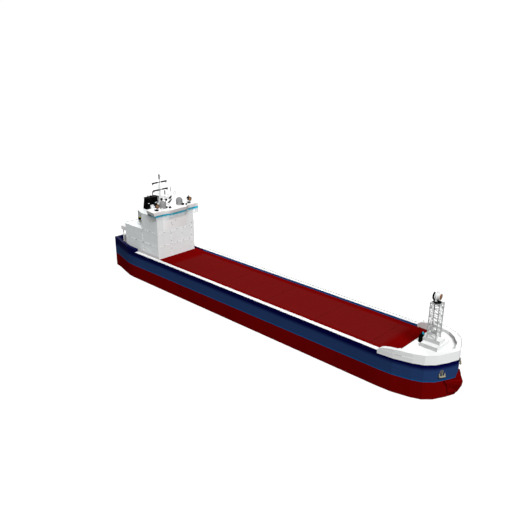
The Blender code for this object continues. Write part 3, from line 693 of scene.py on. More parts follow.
def make_house_seams():
    """Thin raised strips over the plates' joints, with small bolts, every third one dark."""
    strips = Shape()
    pale = Shape()
    dark = Shape()
    for start, end, out in seam_runs():
        pitch = BOLT_PITCH_SIDE if abs(out[1]) > 0.5 else BOLT_PITCH_FRONT
        start = Vector(start)
        end = Vector(end)
        out = Vector(out)
        along = (end - start).normalized()
        edge = along.cross(out) * SEAM_HALF
        face = out * SEAM_THICK
        ring = [-edge, edge, edge + face, face - edge]
        strips.bridge([[start + p for p in ring], [end + p for p in ring]])
        for i in range(1, int((end - start).length / pitch) + 1):
            foot = start + along * (pitch * i)
            kind = dark if i % 3 == 0 else pale
            wide = 0.0085 if i % 3 == 0 else 0.0110
            kind.rod(foot, foot + out * 0.0040, wide, 8, wide - 0.0015)
    strips.finish("house_seams", "trim")
    pale.finish("house_bolts_pale", "bolt")
    dark.finish("house_bolts_dark", "spot")


def wall_plate(shape, foot, along, out, width, height, thick):
    """Upright slab on a wall; foot is the middle of its lower edge on the wall."""
    near = foot - along * (width / 2)
    far = foot + along * (width / 2)
    ring = [near, far, far + rise(height), near + rise(height)]
    shape.bridge([ring, [p + out * thick for p in ring]])


LOW_SILL = DECK_Z + 0.012
HIGH_SILL = LOWER_TOP + 0.012
# Openings of the port wall and of the aft walls: directions along the wall and outward, feet of its doors,
# middles of its portholes
OPENINGS = (
    (AHEAD, TO_PORT,
     ((-2.700, HOUSE_SIDE, LOW_SILL), (-3.250, HOUSE_SIDE, LOW_SILL), (-2.620, HOUSE_SIDE, HIGH_SILL)),
     ((-2.900, HOUSE_SIDE, 0.960), (-3.080, HOUSE_SIDE, 0.960), (-3.400, HOUSE_SIDE, 0.960),
      (-2.850, HOUSE_SIDE, 1.330), (-3.050, HOUSE_SIDE, 1.330))),
    (TO_PORT, ASTERN,
     ((HOUSE_AFT, 0.0, LOW_SILL), (BRIDGE_AFT, 0.280, HIGH_SILL)),
     ((HOUSE_AFT, -0.290, 0.780), (HOUSE_AFT, 0.290, 0.780), (BRIDGE_AFT, -0.300, 1.330),
      (BRIDGE_AFT, 0.060, 1.330))),
)


def add_door(leaves, metal, panes, foot, along, out):
    """Door leaf in its frame, with three hinges, a handle and a round pane."""
    wall_plate(leaves, foot, along, out, 0.094, 0.200, 0.004)
    wall_plate(leaves, foot + out * 0.004 + rise(0.010), along, out, 0.076, 0.180, 0.005)
    for z in (0.040, 0.100, 0.160):
        wall_plate(metal, foot - along * 0.042 + out * 0.004 + rise(z), along, out, 0.010, 0.014, 0.008)
    handle = foot + along * 0.026 + out * 0.016 + rise(0.100)
    metal.rod(handle, handle - along * 0.024, 0.0022, 8)
    metal.rod(handle - out * 0.010, handle + out * 0.002, 0.0030, 8)
    spot = foot + out * 0.0085 + rise(0.150)
    metal.turned(spot, out, [(0, 0.020), (0.004, 0.020), (0.005, 0.016)], 22)
    panes.turned(spot + out * 0.0005, out, [(0, 0.0155), (0.0052, 0.0155), (0.0056, 0.002)], 22)


def add_porthole(metal, panes, centre, along, out):
    metal.turned(centre, out, [(0, 0.030), (0.004, 0.030), (0.0065, 0.024)], 26)
    panes.turned(centre + out * 0.0005, out, [(0, 0.0235), (0.0066, 0.0235), (0.0072, 0.002)], 26)
    for c, s in spokes(6):
        spot = centre + along * (0.0275 * c) + rise(0.0275 * s)
        metal.rod(spot, spot + out * 0.0068, 0.0022, 6)


def make_doors():
    leaves = Shape()
    metal = Shape()
    panes = Shape()
    for along, out, feet, centres in OPENINGS:
        along = Vector(along)
        out = Vector(out)
        for foot in feet:
            add_door(leaves, metal, panes, Vector(foot), along, out)
        for centre in centres:
            add_porthole(metal, panes, Vector(centre), along, out)
    leaves.finish("door_leaves", "trim")
    metal.finish("door_metal", "steel")
    panes.finish("port_panes", "glass")


SIDE_LAMP_X = -3.018


def make_deck_lamp():
    """Side lamp of the bridge with bracket, black housing and yellow lens, and grey dashes on the side wall
    under the wing, a painted shadow of the wing's underside.
    """
    side = -HOUSE_SIDE
    x = SIDE_LAMP_X
    lamp = Shape()
    lamp.box((x - 0.028, side - 0.006, 1.335), (x + 0.028, side, 1.395))
    housing = [(0, 0.031), (0.022, 0.031), (0.026, 0.024), (0.028, 0.008)]
    lamp.turned((x, side - 0.004, 1.366), TO_STARBOARD, housing, 22)
    lamp.finish("side_lamp", "black")
    lens = Shape()
    lens.ball((x + 0.028, side - 0.022, 1.394), 0.009, 14)
    lens.finish("side_lamp_lens", "amber")
    # Grey dashes just under the starboard wing: painted shadow of its underside
    shadow_dashes = Shape()
    for x in (-2.690, -2.660, -2.580, -2.548):
        shadow_dashes.box((x - 0.012, side - 0.003, 1.384), (x + 0.012, side, 1.392))
    shadow_dashes.finish("wing_shadow_dashes", "fade")


RAIL_HEIGHT = 0.100
RAIL_PITCH = 0.110
RAIL_BARS = 3
RAIL_RADIUS = 0.0024
# Distances of the rails from the sides and from the aft edges of their decks
RAIL_SIDE = 0.478
RAIL_INSET = 0.012


def make_rail(name, line):
    """Rail on stanchions along a line of points."""
    rail = Shape()
    line = [Vector(p) for p in line]
    for bar in range(1, RAIL_BARS + 1):
        rail.tube([p + rise(RAIL_HEIGHT * bar / RAIL_BARS) for p in line], RAIL_RADIUS, 6)
    for start, end in zip(line, line[1:]):
        count = max(int((end - start).length / RAIL_PITCH), 1)
        for i in range(count + 1):
            foot = start.lerp(end, i / count)
            rail.rod(foot, foot + rise(RAIL_HEIGHT), RAIL_RADIUS, 6)
    rail.finish(name, "trim")


def make_rails():
    aft = HOUSE_AFT + RAIL_INSET
    make_rail("boat_deck_rail", [
        (-3.225, RAIL_SIDE, LOWER_TOP), (-3.590, RAIL_SIDE, LOWER_TOP), (aft, 0.440, LOWER_TOP),
        (aft, -0.440, LOWER_TOP)])
    aft = BRIDGE_AFT + RAIL_INSET
    make_rail("bridge_aft_rail", [
        (-2.710, RAIL_SIDE, BRIDGE_TOP), (aft, RAIL_SIDE, BRIDGE_TOP), (aft, 0.060, BRIDGE_TOP)])


# Wheelhouse: port wing, lower panes, window bars and the fairing under the bay

# Half breadth of the bay's flat front, where its shoulders meet the wings, and its fairing's head and reach
BAY_HALF = 0.205
BAY_SHOULDER = 0.330
BAY_HEAD = 1.4005
BAY_REACH = 0.0445
# Lower edge of the panes that carry the pale painted reflection, under the sloping ones
SILL_Z = GLASS_LOW - 0.018
# Port wing: outer face, aft and front ends
WING_SIDE = 0.598
WING_AFT = -2.690
WING_FRONT = -2.392
WING_FOOT = 1.407
WING_HEAD = 1.6245
# Bars across the windows: their number, the first one's place and their spacing
WINDOW_BARS = 11
FIRST_BAR = -0.460
BAR_PITCH = 0.092


def make_port_wing():
    """Port wing, squared off under the roof: closed panel, upright windows with posts, and a fascia."""
    centre = (WING_AFT + WING_FRONT) / 2
    panel = Shape()
    panel.box((WING_AFT, HOUSE_SIDE + 0.0004, WING_FOOT), (WING_FRONT, WING_SIDE, SILL_Z - 0.001))
    for x in (WING_AFT, centre, WING_FRONT - 0.004):
        panel.box((x, WING_SIDE - 0.003, WING_FOOT - 0.002), (x + 0.004, WING_SIDE + 0.003, SILL_Z))
    panel.box((WING_AFT, 0.560, GLASS_HIGH + 0.001), (WING_FRONT + 0.006, WING_SIDE + 0.003, WING_HEAD))
    # Panel and fascia in the roof's brighter white: painted light against their shade
    panel.finish("wing_panel", "roof")
    panes = Shape()
    panes.box((WING_AFT + 0.004, 0.510, SILL_Z), (WING_FRONT - 0.002, WING_SIDE - 0.002, GLASS_HIGH))
    panes.finish("wing_panes", "glass")
    posts = Shape()
    for x in (WING_AFT + 0.002, centre, WING_FRONT - 0.006):
        posts.box((x, WING_SIDE - 0.003, GLASS_LOW), (x + 0.005, WING_SIDE + 0.001, GLASS_HIGH))
    posts.finish("wing_posts", "teal")


def make_window_frames():
    """Slim mullions across the window band, in the plane of the sloping panes, and a wiper on every third."""
    bars = Shape()
    wipers = Shape()
    for i in range(WINDOW_BARS):
        y = FIRST_BAR + BAR_PITCH * i
        share = min(max((BAY_SHOULDER - abs(y)) / (BAY_SHOULDER - BAY_HALF), 0.0), 1.0)
        foot = Vector((HOUSE_FRONT + 0.0105 + 0.054 * share, y, GLASS_LOW + 0.002))
        head = Vector((-2.3995 + 0.056 * share, y * 1.03, GLASS_HIGH - 0.002))
        bars.rod(foot, head, 0.0022, 6)
        if i % 3 == 1:
            tip = foot.lerp(head, 0.75) + Vector((0.004, 0.016, 0))
            wipers.rod(head + Vector((0.003, 0, -0.004)), tip, 0.0015, 6)
    bars.finish("window_bars", "teal")
    wipers.finish("window_wipers", "black")


def make_bay_front():
    """Fairing from the front wall up to the wheelhouse bay, in a brighter white that is painted light against
    the shade of its slope, with dark bolts on it and beside it.
    """
    front = HOUSE_FRONT
    bay = Shape()
    rings = []
    for z, ahead in ((BAY_FOOT, front + 0.0010), (BAY_HEAD, front + BAY_REACH)):
        half = [(front - 0.004, BAY_SHOULDER), (front + 0.0006, BAY_SHOULDER), (ahead, BAY_HALF)]
        rings.append([Vector((x, -y, z)) for x, y in half] + [Vector((x, y, z)) for x, y in half[::-1]])
    bay.bridge(rings)
    bay.finish("bay_front", "fair")
    dots = Shape()
    # Bolts: place across and level
    for y, z in (
            (-0.024, 1.356), (-0.133, 1.314), (-0.110, 1.267), (0.436, 1.188), (0.297, 1.127),
            (0.076, 1.135)):
        on_bay = abs(y) < BAY_HALF and z > BAY_FOOT
        ahead = front + (BAY_REACH * (z - BAY_FOOT) / (BAY_HEAD - BAY_FOOT) if on_bay else 0.0)
        dots.rod((ahead - 0.003, y, z), (ahead + 0.004, y, z), 0.0095, 8, 0.0080)
    dots.finish("bay_bolts", "spot")


def make_sill_panes():
    """Lower panes that follow the wall under the sloping windows, pale with the glass's painted reflection.
    """
    front = HOUSE_FRONT + 0.0070
    bay = HOUSE_FRONT + 0.0610
    # Corners of the panes' line and their outward directions
    line = [
        (GLASS[0].x + 0.004, -0.4975, TO_STARBOARD), (front, -0.5000, (1, -1, 0)),
        (front, -BAY_SHOULDER, AHEAD), (bay, -BAY_HALF, AHEAD), (bay, BAY_HALF, AHEAD),
        (front, BAY_SHOULDER, AHEAD), (front, 0.5000, AHEAD),
    ]
    head = GLASS_LOW - 0.0005
    # Corners of the panes' section: distance outward and level
    section = ((-0.006, SILL_Z), (0.0005, SILL_Z), (0.0030, head), (-0.006, head))
    rings = []
    for x, y, way in line:
        rings.append([Vector((x, y, level)) + Vector(way) * out for out, level in section])
    panes = Shape()
    panes.bridge(rings)
    panes.finish("sill_panes", "glass")


# Half plan of the bow's outer edge, with the wing's first point, which lies lower
BOW_EDGE = (
    (3.110, 0.623), (3.336, 0.6105), (3.6225, 0.547), (3.781, 0.483), (3.906, 0.362), (4.000, 0.182),
    (4.064, 0.016),
)
WING_DROP = 0.066


def make_edge_shade_dashes():
    """Short grey dashes along outer edges, painted shade lines of those edges: port cap rail, bow, lower
    house, port wing and its fascia.
    """
    strips = Shape()
    top = SHEER_Z + 0.002
    roof = LOWER_TOP + 0.001
    aft = HOUSE_AFT + 0.004
    corner = HOUSE_FRONT - 0.004
    side = HOUSE_SIDE + 0.001
    brow = GLASS_HIGH + 0.078
    bow_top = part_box("forecastle")[1].z + 0.001
    # Runs: start, end, length of a strip, spacing and half thickness
    runs = [
        ((-2.200, 0.621, top), (3.060, 0.621, top), 0.032, 0.0600, 0.0055),
        ((aft, -0.446, roof), (aft, 0.446, roof), 0.075, 0.125, 0.0050),
        ((corner, side, DECK_Z + 0.010), (corner, side, 1.350), 0.140, 0.165, 0.0045),
        ((-2.398, 0.601, 1.412), (-2.398, 0.601, brow), 0.060, 0.090, 0.0045),
        ((-2.680, 0.600, brow), (-2.400, 0.600, brow), 0.060, 0.110, 0.0045),
    ]
    for (ax, ay), (bx, by) in zip(BOW_EDGE, BOW_EDGE[1:]):
        level = bow_top - (WING_DROP if ax == BOW_EDGE[0][0] else 0.0)
        runs.append(((ax, ay, level), (bx, by, level), 0.022, 0.050, 0.0045))
    for start, end, length, pitch, half in runs:
        start = Vector(start)
        run = Vector(end) - start
        along = run.normalized()
        for i in range(int(run.length / pitch)):
            near = start + along * (pitch * i + (pitch - length) / 2)
            strips.rod(near, near + along * length, half, 8)
    strips.finish("edge_shade_dashes", "edge")


# Roof and mast fittings

def make_radome(node):
    """Dome on a short cylinder with a bolted foot flange and a clamp band."""
    low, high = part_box(node)
    radius = (high.y - low.y) / 2
    side = high.z - low.z - radius
    foot = Vector((middle(node).x, middle(node).y, low.z))
    profile = [
        (0.0, radius + 0.003), (0.005, radius + 0.003), (0.006, radius - 0.001), (side - 0.006, radius),
        (side - 0.004, radius + 0.0015), (side + 0.002, radius + 0.0015), (side + 0.004, radius),
    ]
    profile += [(up, out) for out, up in arc((0.0, side), radius, 0.0, 90.0, 12)[1:-1]]
    profile.append((side + radius, 0.004))
    dome = Shape()
    dome.turned(foot, UP, profile, 40)
    dome.finish(node + "_shell", "grey", "hull", (node,), 30.0)
    bolts = Shape()
    bolts.bolts(foot, radius + 0.001, 12, 0.008, 0.0028)
    bolts.finish(node + "_bolts", "steel")


def make_lamp(node, drum_paint, drum_share):
    """Searchlight: bolted foot, yoke, drum with cooling ribs and rim, domed lens, and a handle on top.

    The drum's radius is a share of half the solid's breadth.
    """
    low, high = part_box(node)
    radius = (high.y - low.y) / 2
    x, y, z = middle(node).x, middle(node).y, high.z - radius
    seat = Vector((x, y, low.z))
    foot = Shape()
    foot.turned(seat, UP, [(0, 0.043), (0.008, 0.043), (0.011, 0.039), (0.012, 0.02)], 32)
    foot.turned(seat + rise(0.010), UP, [(0, 0.020), (0.006, 0.014), (0.024, 0.012), (0.030, 0.015)], 20)
    foot.bolts(seat + rise(0.009), 0.035, 8, 0.005, 0.0032)
    foot.finish(node + "_foot", "black", node, (node,))
    yoke = Shape()
    for way in SIDES:
        side = y + way * (radius + 0.002)
        yoke.post(x, side, low.z + 0.036, z + 0.008, 0.010, 0.0022)
        yoke.rod((x, side - way * 0.004, z), (x, side + way * 0.006, z), 0.009, 16)
    yoke.post(x, y, low.z + 0.034, low.z + 0.040, 0.010, radius + 0.004)
    yoke.finish(node + "_yoke", "trim", node)
    drum = Shape()
    radius *= drum_share
    length = high.x - low.x
    profile = [(0.000, 0.012), (0.004, radius * 0.55), (0.014, radius * 0.86), (0.024, radius * 0.93)]
    for i in range(4):
        start = 0.027 + 0.007 * i
        profile += [
            (start, radius * 0.93), (start + 0.001, radius * 0.98), (start + 0.003, radius * 0.98),
            (start + 0.004, radius * 0.93)]
    profile += [
        (length - 0.014, radius * 0.94), (length - 0.012, radius), (length, radius), (length, radius * 0.88),
        (length - 0.008, radius * 0.86)]
    drum.turned((low.x, y, z), AHEAD, profile, 36)
    for way in SIDES:
        drum.post(x + way * 0.0135, y, z + radius * 0.9, z + radius + 0.020, 0.0025, 0.004)
    drum.post(x, y, z + radius + 0.016, z + radius + 0.023, 0.018, 0.005)
    drum.finish(node + "_drum", drum_paint, node)
    lens = Shape()
    profile = [
        (0.0, radius * 0.87), (0.006, radius * 0.87), (0.010, radius * 0.72), (0.013, radius * 0.45),
        (0.0145, 0.002)]
    lens.turned((high.x - 0.0075, y, z), AHEAD, profile, 36)
    lens.finish(node + "_lens", "lens", node)


def make_lamp_hoop():
    """Guard hoop behind the foremast lamp and a ring on its foot, which pan with it."""
    node = "searchlight_foremast"
    low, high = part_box(node)
    mid = middle(node)
    radius = (high.y - low.y) / 2
    z = high.z - radius
    hoop = Shape()
    bend = arc((mid.y, z), radius - 0.004, 110.0, 275.0, 26)
    hoop.tube([(low.x - 0.002, across, level) for across, level in bend], 0.0140, 12)
    for side in SIDES:
        hoop.rod(
            (low.x - 0.004, mid.y + side * 0.034, z - radius * 0.82),
            (mid.x - 0.030, mid.y + side * 0.030, low.z + 0.010), 0.0050, 8)
    hoop.ring((mid.x, mid.y, low.z + 0.010), UP, 0.050, 0.0095, 36, 10)
    hoop.finish("foremast_lamp_hoop", "black", node)


# Angle of both radar bars at rest, in degrees
SCANNER_TURN = 36.0
# Sections of a radar bar: place along it, and share of its full depth
BAR_SECTIONS = (
    (-1.0, 0.72), (-0.97, 1.0), (-0.20, 1.0), (0.0, 1.12), (0.20, 1.0), (0.97, 1.0), (1.0, 0.72),
)
BAR_HALF = 0.0140


def make_scanner(node):
    """Radar bar: a rounded beam that swells in the middle, on a gearbox with a collar."""
    low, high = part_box(node)
    axis = middle(node)
    axis.z = low.z
    angle = math.radians(SCANNER_TURN)
    place = Matrix.Translation(axis) @ Matrix.Rotation(angle, 4, "Z")
    half = (high.y - low.y) / 2 / math.cos(angle) - 0.004
    top = high.z - low.z
    deep = top * 0.375
    bar = Shape()
    gearbox = [(0, 0.0195), (0.003, 0.0195), (0.004, 0.016), (top * 0.5, 0.014), (top * 0.55, 0.010)]
    bar.turned(axis, UP, gearbox, 28)
    rings = []
    for along, share in BAR_SECTIONS:
        rings.append([
            place @ Vector((BAR_HALF * share * c, half * along, top - deep + deep * share * s))
            for c, s in spokes(12)])
    bar.bridge(rings)
    bar.finish(node + "_bar", "black", node, (node,))


# Radar mast: radii of foot and head, level of the radar arm, and half width of arm and ladder
MAST_FOOT_R = 0.032
MAST_HEAD_R = 0.014
ARM_Z = 1.780
ARM_HALF = 0.014
LADDER_HALF = 0.018


def make_mast():
    """Radar mast: tapered tube with collars, and the radar arm with its ties, platform and stays."""
    low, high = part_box("radar_mast")
    x = middle("upper_yard").x
    tall = high.z - low.z
    mast = Shape()
    profile = [(0.0, 0.040), (0.006, 0.040), (0.008, MAST_FOOT_R)]
    for share in (0.12, 0.25, 0.42, 0.60, 0.78, 0.94):
        radius = MAST_FOOT_R + (MAST_HEAD_R - MAST_FOOT_R) * share
        level = tall * share
        profile += [
            (level - 0.004, radius), (level - 0.002, radius + 0.0025), (level + 0.002, radius + 0.0025),
            (level + 0.004, radius)]
    profile.append((tall, MAST_HEAD_R))
    mast.turned((x, 0, low.z), UP, profile, 28)
    for side in SIDES:
        y = side * ARM_HALF
        mast.box((x, y - 0.0022, ARM_Z), (high.x - 0.005, y + 0.0022, ARM_Z + 0.010))
        mast.rod((x, y, ARM_Z - 0.060), (x + 0.14, y, ARM_Z + 0.002), 0.0035, 8)
    bays = 7
    pitch = (high.x - 0.04 - x) / bays
    level = ARM_Z + 0.005
    for i in range(bays):
        near = x + 0.03 + pitch * i
        mast.rod((near, -ARM_HALF, level), (near + pitch, ARM_HALF, level), 0.0020, 6)
        mast.rod((near, ARM_HALF, level), (near, -ARM_HALF, level), 0.0020, 6)
    mast.box((high.x - 0.070, -0.040, ARM_Z - 0.001), (high.x, 0.040, ARM_Z + 0.010))
    stay = [(x + 0.01, 0, ARM_Z - 0.118), (x + 0.12, 0, ARM_Z - 0.050), (-2.70, 0, ARM_Z + 0.004)]
    mast.tube(stay, 0.007, 10)
    mast.finish("mast_tube", "trim", "hull", ("radar_mast",))
    ladder = Shape()
    aft = x - 0.055
    for side in SIDES:
        y = side * LADDER_HALF
        rail = [(aft, y, low.z + 0.002), (aft, y, high.z - 0.08), (x - 0.010, y, high.z - 0.05)]
        ladder.tube(rail, 0.0026, 8)
        for share in (0.15, 0.45, 0.75):
            level = low.z + tall * share
            ladder.box((aft, side * 0.017 - 0.002, level), (x, side * 0.017 + 0.002, level + 0.004))
    count = int((tall - 0.10) / RUNG_PITCH)
    ladder.rungs((aft, 0, low.z + 0.02), Vector((0, LADDER_HALF, 0)), count, 0.0018)
    ladder.finish("mast_ladder", "trim")


UPPER_YARD_Z = 2.080
LOWER_YARD_Z = 1.925
# Radii of a yard's outer parts and of its middle
YARD_R = 0.0160
YARD_MID_R = 0.0070


def make_yard(node, level):
    """Yard with its lamps, clamps and halyard blocks."""
    x = middle(node).x
    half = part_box(node)[1].y - 0.002
    profile = [(0, 0.008), (0.004, YARD_R - 0.001), (half - 0.05, YARD_R), (half - 0.045, YARD_MID_R)]
    profile += [(2 * half - along, radius) for along, radius in profile[::-1]]
    yard = Shape()
    yard.turned((x, -half, level), TO_PORT, profile, 16)
    lamp = [(0, 0.006), (0.003, 0.0105), (0.012, 0.0112), (0.026, 0.0105), (0.030, 0.006), (0.036, 0.005)]
    for side in SIDES:
        yard.turned((x, side * (half - 0.018), level - 0.036), UP, lamp, 18)
        for share in (0.30, 0.55, 0.75):
            y = side * half * share
            yard.ring((x, y, level - 0.010), AHEAD, 0.0055, 0.0016, 14, 6)
            yard.ring((x, y, level), TO_PORT, 0.0088, 0.0014, 14, 6)
    return yard


def make_yards():
    """Both yards, with the masthead lamps on the upper one and a short whip on the lower one."""
    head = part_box("upper_yard")[1].z
    x = middle("upper_yard").x
    yard = make_yard("upper_yard", UPPER_YARD_Z)
    profile = [
        (0, 0.014), (0.010, 0.014), (0.014, 0.006), (0.078, 0.006), (0.080, 0.0145),
        (head - UPPER_YARD_Z - 0.030, 0.0135)]
    yard.turned((x, 0, UPPER_YARD_Z - 0.010), UP, profile, 16)
    profile = [(0, 0.008), (0.003, 0.0155), (0.010, 0.016), (0.030, 0.0155), (0.036, 0.010), (0.038, 0.004)]
    yard.turned((x, 0, head - 0.038), UP, profile, 20)
    horn = [(x + 0.002, 0, head - 0.060), (x + 0.026, 0.012, head - 0.055), (x + 0.034, 0.015, head - 0.030)]
    yard.tube(horn, 0.003, 8)
    yard.finish("upper_yard_fittings", "black", "hull", ("upper_yard",))
    x = middle("lower_yard").x
    yard = make_yard("lower_yard", LOWER_YARD_Z)
    yard.rod((x, -0.188, LOWER_YARD_Z), (x, -0.196, LOWER_YARD_Z + 0.030), 0.003, 8)
    yard.finish("lower_yard_fittings", "black", "hull", ("lower_yard",))


def make_aerials():
    """Whip, stub and loop aerials on the radar arm and its rest."""
    arm = ARM_Z + 0.010
    aerials = Shape()
    # Poles: place along, foot, head, radius, sides and radius at the head
    for x, low, high, radius, sides, tip in (
            (-2.757, arm - 0.002, 1.850, 0.0035, 8, 0.0035), (-2.757, 1.846, 1.932, 0.0120, 12, 0.0105),
            (-2.560, arm, 1.955, 0.0016, 8, 0.0016), (-2.560, 1.950, 2.050, 0.0060, 8, 0.0040)):
        aerials.pole(x, 0.0, low, high, radius, sides, tip)
    aerials.finish("arm_aerials", "black")
    loops = Shape()
    stem = [(-2.562, 0.004, arm), (-2.568, 0.070, 1.822), (-2.575, 0.112, 1.850), (-2.575, 0.119, 1.866)]
    loops.tube(stem, 0.0022, 8)
    loops.ring((-2.575, 0.119, 1.893), AHEAD, 0.027, 0.0044, 26, 8)
    loops.ring((-2.651, 0.0, 1.843), (0.5, -0.87, 0), 0.022, 0.0036, 24, 8)
    loops.pole(-2.651, 0.0, arm - 0.004, 1.822, 0.0024)
    loops.finish("arm_loops", "lattice")


def make_roof_fittings():
    """Whistles, floodlights and vents on the wheelhouse roof and the mast house."""
    horns = Shape()
    # Whistles, with bells facing ahead: place, height of the post and radius of the bell
    for x, y, height, size in ((-2.850, -0.046, 0.110, 0.030), (-2.785, 0.030, 0.095, 0.026)):
        horns.turned((x, y, ROOF_Z), UP, [(0, 0.013), (0.003, 0.013), (0.004, 0.006), (height, 0.005)], 14)
        profile = [
            (0.0, size * 0.45), (0.006, size * 0.50), (0.014, size * 0.30), (0.034, size * 0.45),
            (0.046, size), (0.048, size)]
        horns.turned((x - 0.020, y, ROOF_Z + height), AHEAD, profile, 18)
    # Floodlights: x, y and half width
    for x, y, half in (
            (-2.506, -0.165, 0.018), (-2.450, -0.118, 0.024), (-2.455, 0.232, 0.027),
            (-2.406, 0.284, 0.016)):
        horns.post(x, y, ROOF_Z + 0.008, ROOF_Z + 0.036, 0.015, half)
        horns.post(x, y, ROOF_Z, ROOF_Z + 0.012, 0.005, 0.005)
    horns.finish("roof_horns", "black")
    vents = Shape()
    profile = [(0, 0.014), (0.012, 0.014), (0.014, 0.022), (0.020, 0.022), (0.026, 0.010)]
    for x, y in ((-2.554, 0.330), (-2.500, -0.290)):
        vents.turned((x, y, ROOF_Z), UP, profile, 20)
    vents.finish("roof_vents", "trim")


# Funnel: level of its flat top, rake of its aft face, middle of the ladder and half width of the rim
FUNNEL_TOP = 1.752
FUNNEL_RAKE = 0.052
FUNNEL_LADDER_X = -3.085
RIM_HALF = 0.005
LOCKER_TOP = 1.592


def make_funnel_trim():
    """Rim round the top, louvres on both sides, collars on the pipes, ladder, hand bars and a locker."""
    low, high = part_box("funnel")
    aft = low.x + FUNNEL_RAKE
    foot = FUNNEL_TOP - 0.014
    head = FUNNEL_TOP + 0.004
    trim = Shape()
    for y in (low.y, high.y):
        trim.box((aft - RIM_HALF, y - RIM_HALF, foot), (high.x + RIM_HALF, y + RIM_HALF, head))
        slat = Matrix.Rotation(math.radians(30.0 if y == low.y else -30.0), 4, "X")
        for i in range(7):
            z = 1.560 + 0.018 * i
            trim.box((-3.150, y - 0.005, z - 0.006), (-3.055, y + 0.005, z + 0.006), slat)
    for x in (aft, high.x):
        trim.box((x - RIM_HALF, low.y, foot), (x + RIM_HALF, high.y, head))
    # Pipes: x, y, radius and height above the funnel
    for x, y, radius, height in (
            (-3.120, -0.180, 0.012, 0.034), (-3.110, -0.120, 0.022, 0.026), (-3.090, -0.075, 0.010, 0.114)):
        collar = [(0, radius + 0.006), (0.004, radius + 0.006), (0.006, radius + 0.001)]
        trim.turned((x, y, FUNNEL_TOP), UP, collar, 20)
        trim.ring((x, y, FUNNEL_TOP + height - 0.002), UP, radius, 0.0018, 20, 6)
    trim.finish("funnel_trim", "black")
    ladder = Shape()
    y = high.y + 0.014
    for side in SIDES:
        x = FUNNEL_LADDER_X + side * LADDER_HALF
        ladder.pole(x, y, low.z + 0.002, FUNNEL_TOP, 0.0022)
        for z in (low.z + 0.06, FUNNEL_TOP - 0.03):
            ladder.rod((x, high.y - 0.002, z), (x, y, z), 0.0018, 6)
    ladder.rungs((FUNNEL_LADDER_X, y, low.z + 0.020), Vector((LADDER_HALF, 0, 0)), 8, 0.0018)
    ladder.finish("funnel_ladder", "steel")
    locker = Shape()
    # Hand bars: start and end across the front, and height
    for start, end, z in ((-0.262, -0.226, 1.642), (-0.078, -0.022, 1.632)):
        locker.box((high.x - 0.001, start, z - 0.006), (high.x + 0.007, end, z + 0.006))
    locker.box((high.x + 0.002, -0.205, low.z), (high.x + 0.034, -0.140, LOCKER_TOP))
    locker.box((high.x, -0.209, LOCKER_TOP), (high.x + 0.038, -0.136, LOCKER_TOP + 0.005))
    locker.finish("funnel_locker", "trim")


# Foremast and vent

# Bays of the lattice, radii of its legs, rings and braces, and width and depth of the platform's rim
LATTICE_BAYS = 8
LEG_R = 0.0080
RING_R = 0.0036
BRACE_R = 0.0042
RIM_WIDE = 0.006
RIM_DEEP = 0.010


def make_lattice():
    """Four legs with rings, braces that change their way, plates at the joints, platform and ladder."""
    low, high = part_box("foremast")
    mid = middle("foremast")
    edge = (high.y - low.y) / 2
    half = edge - 0.008
    deck = high.z - 0.012
    pitch = (deck - low.z) / LATTICE_BAYS
    lattice = Shape()
    corners = [(-1, -1), (1, -1), (1, 1), (-1, 1)]
    for cx, cy in corners:
        lattice.pole(mid.x + cx * half, cy * half, low.z, deck + 0.002, LEG_R, 12)
        lattice.post(mid.x + cx * half, cy * half, low.z, low.z + 0.004, 0.013, 0.013)
    for i in range(LATTICE_BAYS):
        foot = low.z + pitch * i
        for k, (ax, ay) in enumerate(corners):
            bx, by = corners[(k + 1) % 4]
            a = Vector((mid.x + ax * half, ay * half, foot))
            b = Vector((mid.x + bx * half, by * half, foot))
            if (i + k) % 2:
                lattice.rod(a, b + rise(pitch), BRACE_R, 8)
            else:
                lattice.rod(a + rise(pitch), b, BRACE_R, 8)
            if i:
                lattice.rod(a, b, RING_R, 8)
                spot = a + Vector(((ax + bx) / 2, (ay + by) / 2, 0)) * 0.004
                lattice.post(spot.x, spot.y, foot - 0.008, foot + 0.008, 0.007, 0.007)
    lattice.box((low.x, -edge, deck), (high.x, edge, high.z - 0.008))
    rim = high.z - RIM_DEEP
    reach = (high.x - low.x) / 2
    thick = RIM_WIDE / 2
    for side in SIDES:
        lattice.post(mid.x, side * (edge - thick), rim, high.z, reach, thick)
        lattice.post(mid.x + side * (reach - thick), 0.0, rim, high.z, thick, edge)
    lattice.post(mid.x, 0.0, rim, high.z, 0.050, 0.050)
    lattice.finish("foremast_lattice", "lattice", "hull", ("foremast",))
    ladder = Shape()
    x = mid.x - 0.040
    for y in (-0.020, 0.020):
        ladder.pole(x, y, low.z, deck, 0.0022)
    count = int((deck - low.z) / RUNG_PITCH)
    ladder.rungs((x, 0, low.z + 0.020), Vector((0, 0.020, 0)), count, 0.0015)
    ladder.finish("foremast_ladder", "trim")


